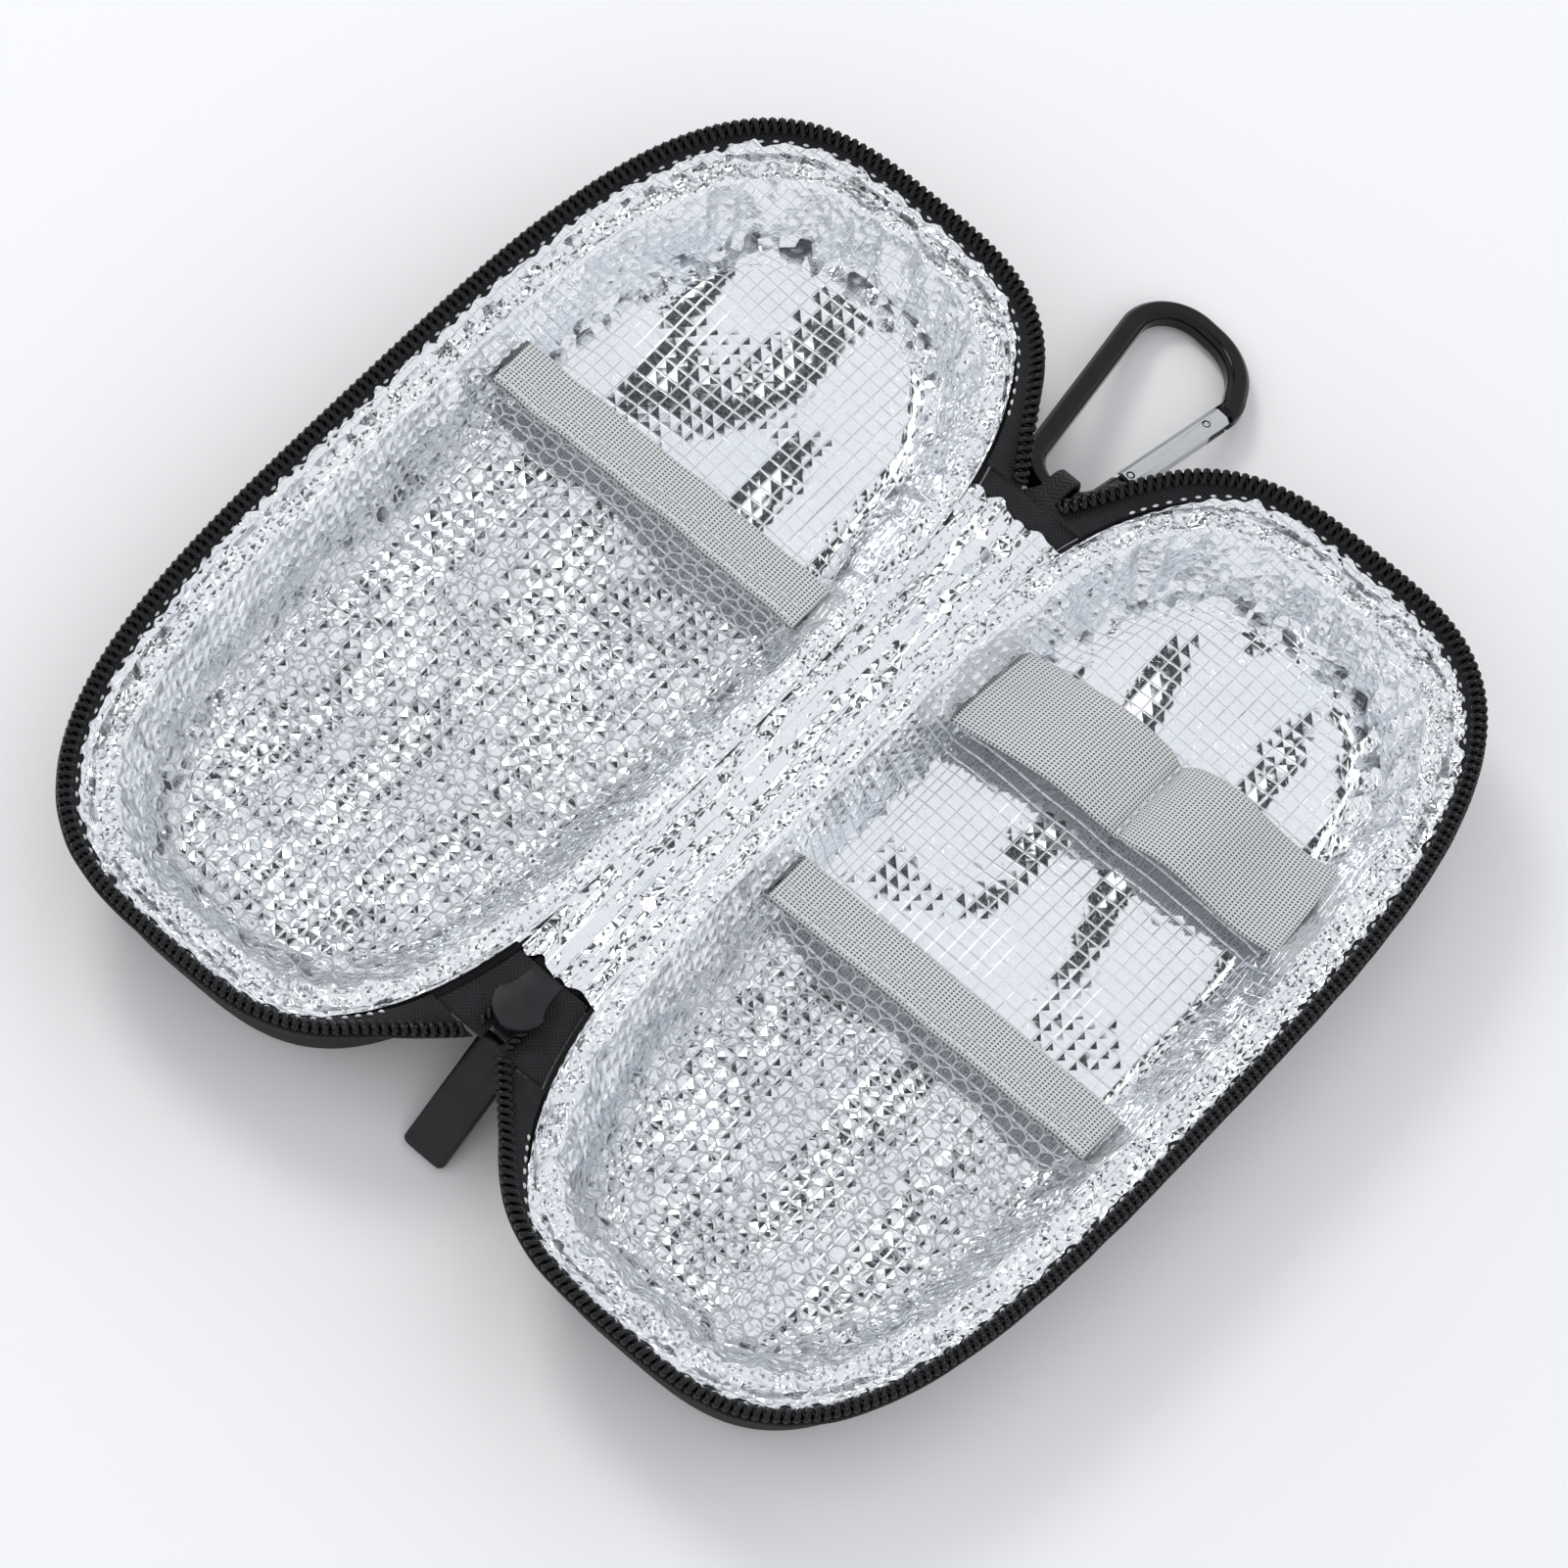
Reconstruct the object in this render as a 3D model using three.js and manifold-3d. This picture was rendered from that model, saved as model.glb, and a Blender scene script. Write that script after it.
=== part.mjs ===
// Insulin cooling case, lying fully open on a table, in millimetres with +Z up.
// Two moulded dishes, padded and lined with foil, are joined by a cloth spine that runs along Y.
// The base lies on the +X side and the lid on the -X side. The lid is the base's mirror image
// apart from its pocket and the holder. The origin is the middle of the base's underside.

import * as THREE from 'three';
import { mergeVertices } from 'three/addons/utils/BufferGeometryUtils.js';
import Module from 'manifold-3d';

const wasm = await Module();
wasm.setup();

// Gaps
const seatGap = 0.3;
const meshGap = 0.5;
const overrun = 2;

// Shell of each half
const shellLength = 195.6;
const shellWidth = 92;
const shellDepth = 24;
const shellWall = 2.5;
const shellFootRadius = 8;
const shellSlopeDegrees = 8;
const outlineRoundShare = 0.6135;

// Padding and foil lining
const foamRimWidth = 2.2;
const foamFloorThickness = 8;
const liningRadius = 7;
const liningSlopeDegrees = 30;
const foilThickness = 0.6;
const hemInset = 1.7;

// Spine between the halves
const spineWidth = 10.4;
const spineClothThickness = 1.2;
const notchLow = 39.8;
const notchHigh = 33.8;

// Zip tape and coil
const tapeThickness = 0.8;
const tapeInset = 0.5;
const tapeFlareDegrees = 64;
const toothPitch = 2.1;
const toothWidth = 3.2;
const toothHeight = 1.8;
const toothValleyShare = 0.62;
const toothCrownShare = 0.55;
const chainGatherWidth = 6.8;
const chainGatherRise = 1.2;
const chainRunHigh = 4.8;

// Zip slider and pull
const sliderLength = 12;
const sliderWidth = 10;
const sliderTailWidth = 6.4;
const sliderPlate = 1.2;
const sliderThroat = 3.6;
const sliderPostWidth = 3;
const sliderPostLength = 3.4;
const sliderTravel = 3;
const bailWidth = 2.4;
const bailLength = 7;
const bailWall = 0.9;
const linkWire = 1.3;
const linkWidth = 5.6;
const linkLength = 5;
const pullLength = 25;
const pullWidth = 9;
const pullThickness = 2.8;
const pullGroove = 0.7;
const pullGrooveWidth = 3;
const pullCorner = 1;

// Net pockets
const netSink = 5;
const netThickness = 0.7;
const netPitch = 8.6;
const netStrand = 1.2;
const netHem = 2.2;
const lidMouth = 28;
const baseMouth = -14;
const edgingWidth = 10.5;
const edgingThickness = 2.6;
const edgingFold = 4;

// Wide elastic holder
const holderWidth = 20;
const holderThickness = 1.2;
const holderY = 41.5;
const holderSkew = 5;
const holderSink = 6.4;
const holderLifts = [3.6, 1.7];
const holderSways = [-0.6, 2.3];
const seamThread = 0.6;

// Webbing loop and snap hook
const webbingWidth = 8;
const webbingEyeWidth = 4.4;
const webbingThickness = 1.2;
const webbingTail = 11;
const webbingEye = 3.9;
const webbingReach = 12.5;
const webbingDrop = 3.7;
const tackLength = 1.6;
const hookRod = 4.2;
const hookFace = 2.3;
const hookNearX = -1.5;
const hookNearRadius = 7.5;
const hookFarRight = [4, 33.5];
const hookFarRightRadius = 5.3;
const hookFarMiddle = [-4, 32.4];
const hookFarMiddleRadius = 12.9;
const hookFarLeft = [-6.5, 36.7];
const hookFarLeftRadius = 8.8;
const tongueThickness = 1.5;
const tongueWidth = 3.4;
const tongueTip = 1.4;
const noseTongue = 4.2;
const gateHeel = 1.1;
const gateSlot = 2.3;
const gatePin = 1.1;
const pinHole = 1.7;
const springBore = 2.6;
const springWire = 0.4;
const springLength = 8;
const springTurnCount = 5;
const gateFromShare = 0.12;
const gateToShare = 0.96;

// Facet counts
const dishSides = 40;
const arcSteps = 2;
const curveSteps = 360;
const straightSteps = 25;
const tapeSteps = 84;
const holderSteps = 16;
const gussetSteps = 4;
const eyeSteps = 14;
const outlineSteps = 6;
const bendStepDegrees = 12;
const rodSides = 8;
const pinSides = 12;
const springSteps = 8;
const springSides = 5;

const halfCentre = (spineWidth + shellWidth) / 2;
const radians = THREE.MathUtils.degToRad;

// A closed body from corner points and triangles, turned face out if it came inside out.
function closedBody(points, triangles) {
  const [a, b, c] = [new THREE.Vector3(), new THREE.Vector3(), new THREE.Vector3()];
  let volume = 0;
  for (const [i, j, k] of triangles) {
    volume += a.copy(points[i]).dot(b.copy(points[j]).cross(c.copy(points[k])));
  }
  const turned = volume < 0 ? triangles.map(([i, j, k]) => [i, k, j]) : triangles;
  const geometry = new THREE.BufferGeometry();
  geometry.setAttribute('position', new THREE.Float32BufferAttribute(
    points.flatMap((point) => [point.x, point.y, point.z]), 3));
  geometry.setIndex(turned.flat());
  return geometry;
}

// A body lofted through rings of equal count, closed at both ends by a fan about each end's middle.
function loft(rings) {
  const count = rings[0].length;
  const points = rings.flat();
  const triangles = [];
  for (let ring = 0; ring + 1 < rings.length; ring += 1) {
    for (let i = 0; i < count; i += 1) {
      const here = ring * count + i;
      const beside = ring * count + (i + 1) % count;
      triangles.push([here, beside, here + count], [beside, beside + count, here + count]);
    }
  }
  for (const [start, flip] of [[0, true], [(rings.length - 1) * count, false]]) {
    const middle = new THREE.Vector3();
    for (let i = 0; i < count; i += 1) middle.addScaledVector(points[start + i], 1 / count);
    points.push(middle);
    for (let i = 0; i < count; i += 1) {
      const [here, beside] = [start + i, start + (i + 1) % count];
      triangles.push(flip ? [beside, here, points.length - 1] : [here, beside, points.length - 1]);
    }
  }
  return closedBody(points, triangles);
}

function toSolid(geometry) {
  const bare = geometry.clone();
  bare.deleteAttribute('normal');
  bare.deleteAttribute('uv');
  const merged = mergeVertices(bare);
  return new wasm.Manifold(new wasm.Mesh({
    numProp: 3,
    vertProperties: new Float32Array(merged.attributes.position.array),
    triVerts: new Uint32Array(merged.index.array),
  }));
}

function toGeometry(solid) {
  const mesh = solid.getMesh();
  const geometry = new THREE.BufferGeometry();
  geometry.setAttribute('position', new THREE.BufferAttribute(mesh.vertProperties, 3));
  geometry.setIndex(new THREE.BufferAttribute(mesh.triVerts, 1));
  return geometry;
}

function join(geometries) {
  return toGeometry(geometries.map(toSolid).reduce((whole, piece) => whole.add(piece)));
}

function cut(geometry, cutters) {
  return toGeometry(cutters.map(toSolid).reduce((left, cutter) => left.subtract(cutter), toSolid(geometry)));
}

function box(width, length, height, x, y, z) {
  return new THREE.BoxGeometry(width, length, height).translate(x, y, z);
}

// An outline in the X-Y plane made into a plate between two heights.
function plate(shape, low, high) {
  return new THREE.ExtrudeGeometry(shape, { depth: high - low, bevelEnabled: false }).translate(0, 0, low);
}

// An outline in the Y-Z plane made into a bar of the given width, centred on X = 0.
function sideBar(shape, width) {
  const bar = new THREE.ExtrudeGeometry(shape, { depth: width, bevelEnabled: false });
  return bar.translate(0, 0, -width / 2).rotateX(Math.PI / 2).rotateZ(Math.PI / 2);
}

// Outline of a half about its own middle: an oval whose corners are squarer than an ellipse's.
function outlinePoint(inset, turn) {
  const part = (size, wave) => size * Math.sign(wave) * Math.abs(wave) ** outlineRoundShare;
  return new THREE.Vector2(
    part(shellWidth / 2 - inset, Math.cos(turn)),
    part(shellLength / 2 - inset, Math.sin(turn)));
}

// How far from a half's middle its outline lies along X, at a place along Y.
function outlineReach(inset, y) {
  const power = 2 / outlineRoundShare;
  const along = Math.min(1, Math.abs(y) / (shellLength / 2 - inset));
  return (shellWidth / 2 - inset) * (1 - along ** power) ** (1 / power);
}

function outlineRing(inset, z) {
  return Array.from({ length: dishSides }, (_, i) => {
    const point = outlinePoint(inset, (i + 0.5) * 2 * Math.PI / dishSides);
    return new THREE.Vector3(point.x, point.y, z);
  });
}

// A dish surface: a wall that slopes in from the rim, an arc at its foot, and a flat floor.
const shellDish = { rim: 0, slope: radians(shellSlopeDegrees), radius: shellFootRadius, floor: 0 };
const liningDish = {
  rim: shellWall + seatGap + foamRimWidth,
  slope: radians(liningSlopeDegrees),
  radius: liningRadius,
  floor: shellWall + seatGap + foamFloorThickness,
};

// Where a dish's wall lies at a height, on the surface set in from it by an offset.
function dishInset(dish, offset, z) {
  return dish.rim + offset / Math.cos(dish.slope) + (shellDepth - z) * Math.tan(dish.slope);
}

// The rings of a dish surface from its floor's edge up to a height at the rim.
function dishRings(dish, offset, top) {
  const centreZ = dish.floor + dish.radius;
  const tangentZ = centreZ - dish.radius * Math.sin(dish.slope);
  const centreInset = dishInset(dish, 0, tangentZ) + dish.radius * Math.cos(dish.slope);
  const radius = dish.radius - offset;
  const rings = [];
  for (let step = 0; step <= arcSteps; step += 1) {
    const turn = THREE.MathUtils.lerp(Math.PI / 2, dish.slope, step / arcSteps);
    rings.push(outlineRing(centreInset - radius * Math.cos(turn), centreZ - radius * Math.sin(turn)));
  }
  rings.push(outlineRing(dishInset(dish, offset, top), top));
  return rings;
}

function shell() {
  return loft([
    ...dishRings(shellDish, 0, shellDepth),
    ...dishRings(shellDish, shellWall, shellDepth).reverse(),
  ]);
}

function foam() {
  return loft([
    ...dishRings(shellDish, shellWall + seatGap, shellDepth),
    ...dishRings(liningDish, 0, shellDepth).reverse(),
  ]);
}

// The foil's hem turns outwards over the top of the padding and the shell's edge.
function foil() {
  const hemUnder = shellDepth + seatGap;
  const hemTop = hemUnder + foilThickness;
  return loft([
    ...dishRings(liningDish, seatGap, hemUnder),
    outlineRing(hemInset, hemUnder),
    outlineRing(hemInset, hemTop),
    ...dishRings(liningDish, seatGap + foilThickness, hemTop).reverse(),
  ]);
}

// Zip chain of one half. Its main run follows the rim. Near each end of the spine it leaves the
// rim's curve along a straight tangent and gathers towards the spine's middle line.
const spineLow = -(shellLength / 2 - notchLow);
const spineHigh = shellLength / 2 - notchHigh;
const sliderTail = spineLow - overrun;
const sliderFront = sliderTail - sliderLength;
const chainLow = sliderFront - sliderTravel - seatGap;
const chainHigh = spineHigh + chainRunHigh;
const flare = radians(tapeFlareDegrees);
const coilSeat = tapeThickness / 2 + seatGap + toothHeight / 2;
const rootRise = seatGap + tapeThickness / 2;

// Height of a tooth's highest corner above the coil's centre, for a tooth scaled by a share.
function toothReach(share) {
  const alongTape = toothWidth / 2 * Math.cos(flare);
  const acrossTape = toothHeight / 2 * Math.sin(flare);
  return share * Math.max(alongTape - acrossTape, toothCrownShare * alongTape + acrossTape);
}

// Crests meet valleys across the closed zip's middle plane, half the spine's width above the rim.
const coilRise = (spineWidth - meshGap - toothReach(1) - toothReach(toothValleyShare)) / 2;
const tapeRun = (coilRise - rootRise - coilSeat * Math.sin(flare)) / Math.cos(flare);
const coilOverhang = tapeRun * Math.sin(flare) - coilSeat * Math.cos(flare) - tapeInset;

// Stations along the chain, each with the coil's centre and the tape's root on the rim.
function chainStations() {
  const curve = Array.from({ length: curveSteps + 1 }, (_, i) => {
    const turn = THREE.MathUtils.lerp(-Math.PI, Math.PI, i / curveSteps);
    return { coil: outlinePoint(-coilOverhang, turn), root: outlinePoint(tapeInset, turn) };
  });
  const gatherX = chainGatherWidth / 2 - halfCentre;
  // The straight run meets the curve where the bearing from the chain's end turns back.
  const tangentIndex = (endY, side) => {
    let best = -1;
    let furthest = Infinity;
    curve.forEach(({ coil }, i) => {
      const [dx, dy] = [coil.x - gatherX, side * (coil.y - endY)];
      if (dy <= 0) return;
      const bearing = Math.atan2(dx, dy);
      if (bearing < furthest) [best, furthest] = [i, bearing];
    });
    return best;
  };
  const straight = (endY, meet) => Array.from({ length: straightSteps }, (_, i) => {
    const share = i / straightSteps;
    const rootY = THREE.MathUtils.lerp(endY, meet.root.y, share);
    return {
      coil: new THREE.Vector2(gatherX, endY).lerp(meet.coil, share),
      root: new THREE.Vector2(-outlineReach(tapeInset, rootY), rootY),
      rise: THREE.MathUtils.lerp(chainGatherRise, coilRise, THREE.MathUtils.smoothstep(share, 0, 1)),
    };
  });
  const [low, high] = [tangentIndex(chainLow, -1), tangentIndex(chainHigh, 1)];
  const run = [
    ...straight(chainLow, curve[low]),
    ...curve.slice(low, high + 1),
    ...straight(chainHigh, curve[high]).reverse(),
  ];
  let length = 0;
  return run.map(({ coil, root, rise = coilRise }, i) => {
    const station = {
      coil: new THREE.Vector3(coil.x, coil.y, shellDepth + rise),
      root: new THREE.Vector3(root.x, root.y, shellDepth + rootRise),
    };
    if (i > 0) length += coil.distanceTo(run[i - 1].coil);
    return { ...station, length };
  });
}

const stations = chainStations();
const chainLength = stations[stations.length - 1].length;

// The chain at a distance along it: coil centre, tape root, and the tape's own directions.
function chainAt(distance) {
  const place = (at) => {
    const next = Math.max(1, stations.findIndex((station) => station.length >= at));
    const [from, to] = [stations[next - 1], stations[next]];
    const share = (at - from.length) / (to.length - from.length);
    return { coil: from.coil.clone().lerp(to.coil, share), root: from.root.clone().lerp(to.root, share) };
  };
  const step = toothPitch / 2;
  const { coil, root } = place(distance);
  const ahead = place(Math.min(chainLength, distance + step)).coil;
  const along = ahead.sub(place(Math.max(0, distance - step)).coil).normalize();
  const square = (vector) => vector.addScaledVector(along, -vector.dot(along)).normalize();
  let up = square(coil.clone().sub(root));
  let inward = up.clone().cross(along).normalize();
  const tapeEdge = coil.clone().addScaledVector(inward, -coilSeat);
  up = square(tapeEdge.clone().sub(root));
  inward = up.clone().cross(along).normalize();
  return { coil, root, tapeEdge, up, inward };
}

// The row of coil teeth: full rings at the crests and smaller ones in the valleys between them.
function zipCoil(crestShift) {
  const rings = [];
  const halves = Math.floor(chainLength / (toothPitch / 2));
  for (let half = 0; half <= halves; half += 1) {
    const { coil, up, inward } = chainAt(half * toothPitch / 2);
    const share = (half + crestShift) % 2 ? toothValleyShare : 1;
    const corner = (across, deep) => coil.clone()
      .addScaledVector(up, across * share * toothWidth / 2)
      .addScaledVector(inward, deep * share * toothHeight / 2);
    rings.push([corner(-1, -1), corner(1, -1), corner(toothCrownShare, 1), corner(-toothCrownShare, 1)]);
  }
  return loft(rings);
}

function zipTape() {
  return loft(Array.from({ length: tapeSteps + 1 }, (_, i) => {
    const { root, tapeEdge, up, inward } = chainAt(i / tapeSteps * chainLength);
    const side = (point, way) => point.clone().addScaledVector(inward, way * tapeThickness / 2);
    const edge = tapeEdge.clone().addScaledVector(up, seatGap);
    return [side(root, -1), side(edge, -1), side(edge, 1), side(root, 1)];
  }));
}

// Net pocket: one flat net of hexagonal gaps, hemmed all round, over the end of a half.
const netHeight = shellDepth - netSink;
const netInset = dishInset(liningDish, seatGap + foilThickness, netHeight - netThickness / 2) + seatGap;

function netPocket(mouth) {
  const visible = mouth - edgingWidth / 2;
  const far = visible + edgingFold - seatGap;
  const rim = [];
  for (let i = 0; i <= dishSides; i += 1) {
    const point = outlinePoint(netInset, THREE.MathUtils.lerp(-Math.PI, 0, i / dishSides));
    if (point.y < visible) rim.push(point);
  }
  const reach = outlineReach(netInset, far);
  const shape = new THREE.Shape([new THREE.Vector2(-reach, far), ...rim, new THREE.Vector2(reach, far)]);
  const gapRadius = (netPitch - netStrand) / Math.sqrt(3);
  const rowPitch = netPitch * Math.sqrt(3) / 2;
  const rows = Math.floor((visible + shellLength / 2) / rowPitch);
  const columns = Math.ceil(shellWidth / netPitch / 2);
  for (let row = 0; row < rows; row += 1) {
    const y = visible - netStrand / 2 - gapRadius - row * rowPitch;
    for (let column = -columns; column < columns; column += 1) {
      const x = (column + (row % 2) / 2) * netPitch;
      const corners = Array.from({ length: 6 }, (_, i) => {
        const turn = Math.PI / 6 + i * Math.PI / 3;
        return new THREE.Vector2(x + gapRadius * Math.cos(turn), y + gapRadius * Math.sin(turn));
      });
      const hemmed = corners.every((corner) => corner.y > netInset + netHem - shellLength / 2
        && Math.abs(corner.x) < outlineReach(netInset + netHem, corner.y));
      if (hemmed) shape.holes.push(new THREE.Path(corners));
    }
  }
  return plate(shape, netHeight - netThickness / 2, netHeight + netThickness / 2);
}

// Elastic edging of a pocket's mouth, folded over the net's edge like a U.
function edging(mouth) {
  const low = netHeight - edgingThickness / 2;
  const slot = netThickness / 2 + seatGap;
  const [near, far] = [mouth - edgingWidth / 2, mouth + edgingWidth / 2];
  const fold = near + edgingFold;
  const shape = new THREE.Shape([
    [near, low], [far, low], [far, netHeight + edgingThickness / 2],
    [near, netHeight + edgingThickness / 2], [near, netHeight + slot], [fold, netHeight + slot],
    [fold, netHeight - slot], [near, netHeight - slot],
  ].map(([y, z]) => new THREE.Vector2(y, z)));
  const wall = dishInset(liningDish, seatGap + foilThickness, low) + seatGap;
  return sideBar(shape, 2 * Math.min(outlineReach(wall, near), outlineReach(wall, far)));
}

// Wide elastic holder: a slack band across the base's dish, sewn across its middle into two loops.
const holderHeight = shellDepth - holderSink;
const holderWall = dishInset(liningDish, seatGap + foilThickness, holderHeight - holderThickness / 2) + seatGap;

// Height of the band's middle surface along its length, the two loops end to end.
function holderRise(share) {
  const loop = Math.min(1, Math.floor(2 * share));
  const along = 2 * share - loop;
  return holderHeight + holderLifts[loop] * Math.sin(Math.PI * along)
    + holderSways[loop] * Math.sin(2 * Math.PI * along);
}

// A point of the band, whose ends follow the lining's wall.
function holderPoint(share, way) {
  const y = holderY + holderSkew * (share - 1 / 2) + way * holderWidth / 2;
  const reach = outlineReach(holderWall, y);
  return new THREE.Vector3(THREE.MathUtils.lerp(-reach, reach, share), y, holderRise(share));
}

function holder() {
  return loft(Array.from({ length: holderSteps + 1 }, (_, i) => {
    const share = i / holderSteps;
    const corner = (way, lift) => holderPoint(share, way).setZ(holderRise(share) + lift * holderThickness / 2);
    return [corner(-1, -1), corner(1, -1), corner(1, 1), corner(-1, 1)];
  }));
}

function holderSeam() {
  const middle = holderPoint(1 / 2, 0);
  return box(seamThread, holderWidth, seamThread,
    middle.x, middle.y, middle.z + (holderThickness + seamThread) / 2 + seatGap);
}

// Spine pieces. Each clears the shells' edges beside it.
function spineStrip(low, high) {
  const width = spineWidth - 2 * seatGap;
  return box(width, spineHigh - spineLow, high - low, 0, (spineHigh + spineLow) / 2, (high + low) / 2);
}

function spineCloth() {
  return spineStrip(shellDepth - seatGap - spineClothThickness, shellDepth - seatGap);
}

function spineFoil() {
  return spineStrip(shellDepth, shellDepth + foilThickness);
}

// Tape gusset that fills the notch between the shells' round corners, at one end of the spine.
// At the slider's end it stops short of the halves' first teeth, which fold down beside it.
const gussetLow = chainLow + toothWidth / 2 + seatGap;

function gusset(from, to, slot) {
  const edge = (y) => halfCentre - outlineReach(0, y) - 2 * seatGap;
  const right = Array.from({ length: gussetSteps + 1 }, (_, i) => {
    const y = THREE.MathUtils.lerp(from, to, i / gussetSteps);
    return new THREE.Vector2(edge(y), y);
  });
  const left = right.map((point) => new THREE.Vector2(-point.x, point.y)).reverse();
  const middle = slot ? [
    new THREE.Vector2(slot, to), new THREE.Vector2(slot, sliderTail - sliderLength / 2),
    new THREE.Vector2(-slot, sliderTail - sliderLength / 2), new THREE.Vector2(-slot, to)] : [];
  const middleZ = shellDepth + chainGatherRise - coilSeat;
  return plate(new THREE.Shape([...right, ...middle, ...left]),
    middleZ - tapeThickness / 2, middleZ + tapeThickness / 2);
}

// The last teeth of one coil, from the slider's throat to where the half's own coil begins.
function chainEnd() {
  const rings = [];
  const start = chainLow + toothWidth / 2;
  const count = Math.floor((sliderLength + sliderTravel) / 2 / (toothPitch / 2));
  for (let half = 0; half <= count; half += 1) {
    const y = start + half * toothPitch / 2;
    const share = half % 2 ? 1 : toothValleyShare;
    const corner = (across, deep) => new THREE.Vector3(
      chainGatherWidth / 2 + across * share * toothHeight / 2,
      y,
      shellDepth + chainGatherRise + deep * share * toothHeight / 2);
    rings.push([corner(-1, -1), corner(1, -1), corner(toothCrownShare, 1), corner(-toothCrownShare, 1)]);
  }
  return loft(rings);
}

// Zip slider: two plates of one outline, joined by a wedge between the two coils.
const throatMiddle = shellDepth + chainGatherRise - (seatGap + tapeThickness) / 2;
const sliderUnder = throatMiddle - sliderThroat / 2 - sliderPlate;

function sliderBody() {
  const shoulder = sliderFront + sliderWidth / 2;
  const outline = new THREE.Shape();
  outline.moveTo(sliderTailWidth / 2, sliderTail);
  outline.lineTo(-sliderTailWidth / 2, sliderTail);
  outline.quadraticCurveTo(-sliderTailWidth / 2, shoulder + sliderPlate, -sliderWidth / 2, shoulder);
  outline.absarc(0, shoulder, sliderWidth / 2, Math.PI, 2 * Math.PI);
  outline.quadraticCurveTo(sliderTailWidth / 2, shoulder + sliderPlate, sliderTailWidth / 2, sliderTail);
  const rounded = new THREE.Shape(outline.getPoints(outlineSteps));
  const postY = sliderFront + sliderPostLength / 2 + sliderPlate;
  const wedge = new THREE.Shape([
    new THREE.Vector2(0, postY - sliderPostLength / 2),
    new THREE.Vector2(sliderPostWidth / 2, postY),
    new THREE.Vector2(0, postY + sliderPostLength / 2),
    new THREE.Vector2(-sliderPostWidth / 2, postY),
  ]);
  const [low, high] = [throatMiddle - sliderThroat / 2, throatMiddle + sliderThroat / 2];
  return join([
    plate(rounded, low - sliderPlate, low),
    plate(rounded, high, high + sliderPlate),
    plate(wedge, low - sliderPlate / 2, high + sliderPlate / 2),
  ]);
}

// Bail: a staple under the slider's outer plate, which the pull's link hangs on.
const bailHeight = linkWire + 2 * seatGap + 2 * bailWall;
const bailMiddle = (sliderFront + sliderTail) / 2;
const pivotZ = sliderUnder - seatGap - bailHeight / 2;

function sliderBail() {
  const middleZ = sliderUnder - seatGap - bailHeight / 2;
  return cut(
    box(bailWidth, bailLength, bailHeight, 0, bailMiddle, middleZ),
    [box(bailWidth + overrun, bailLength - 2 * bailWall, bailHeight - 2 * bailWall, 0, bailMiddle, middleZ)],
  );
}

// The hook's bar has a flat face on every side, and cut edges between them.
const hookCorner = Math.hypot(hookRod, hookFace) / 2;

function hookSection() {
  const [side, face] = [hookRod / 2, hookFace / 2];
  return [
    [side, -face], [side, face], [face, side], [-face, side],
    [-side, face], [-side, -face], [-face, -side], [face, -side],
  ].map(([x, y]) => new THREE.Vector2(x, y));
}

// A bar of one section swept along points that lie in the X-Y plane.
function sweptBar(points, section) {
  const normal = new THREE.Vector3(0, 0, 1);
  return loft(points.map((point, i) => {
    const ahead = points[Math.min(points.length - 1, i + 1)].clone();
    const along = ahead.sub(points[Math.max(0, i - 1)]).normalize();
    const across = along.clone().cross(normal);
    return section.map((corner) => point.clone()
      .addScaledVector(across, corner.x)
      .addScaledVector(normal, corner.y));
  }));
}

// Link and pull are drawn flat along -Y from the pivot, and turned down until the tip lies on the table.
const pullReach = linkLength + seatGap + pullLength;
const pullSlope = Math.asin(pivotZ / Math.hypot(pullReach, pullThickness / 2))
  - Math.atan2(pullThickness / 2, pullReach);

function pullLink() {
  const wire = linkWire / 2;
  const half = linkWidth / 2 - wire;
  const bar = new THREE.CylinderGeometry(wire, wire, linkWidth, rodSides).rotateZ(Math.PI / 2);
  const leg = (side) => new THREE.CylinderGeometry(wire, wire, linkLength, rodSides)
    .translate(side * half, -linkLength / 2, 0);
  return join([bar, leg(1), leg(-1)]);
}

// Moulded pull: a flat bar with rounded long edges and a shallow groove down its middle.
function pullTab() {
  const near = -linkLength - seatGap;
  const far = near - pullLength;
  const section = (y, inset) => {
    const [w, h] = [pullWidth / 2 - inset, pullThickness / 2];
    return [
      [-w, -h + pullCorner], [-w + pullCorner, -h], [w - pullCorner, -h], [w, -h + pullCorner],
      [w, h - pullCorner], [w - pullCorner, h],
      [pullGrooveWidth / 2, h - pullGroove], [-pullGrooveWidth / 2, h - pullGroove],
      [-w + pullCorner, h], [-w, h - pullCorner],
    ].map(([x, z]) => new THREE.Vector3(x, y, z));
  };
  return loft([
    section(near, pullCorner), section(near - pullCorner, 0),
    section(far + pullCorner, 0), section(far, pullCorner),
  ]);
}

// Webbing loop, seen from the side: a doubled tail under the spine, and an eye round the hook.
// The webbing is gathered narrower where it passes through the hook's small end.
const eyeY = spineHigh + webbingReach;
const eyeZ = shellDepth - webbingDrop - webbingThickness - webbingEye;
const tailTop = shellDepth - seatGap - spineClothThickness - seatGap;

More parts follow.
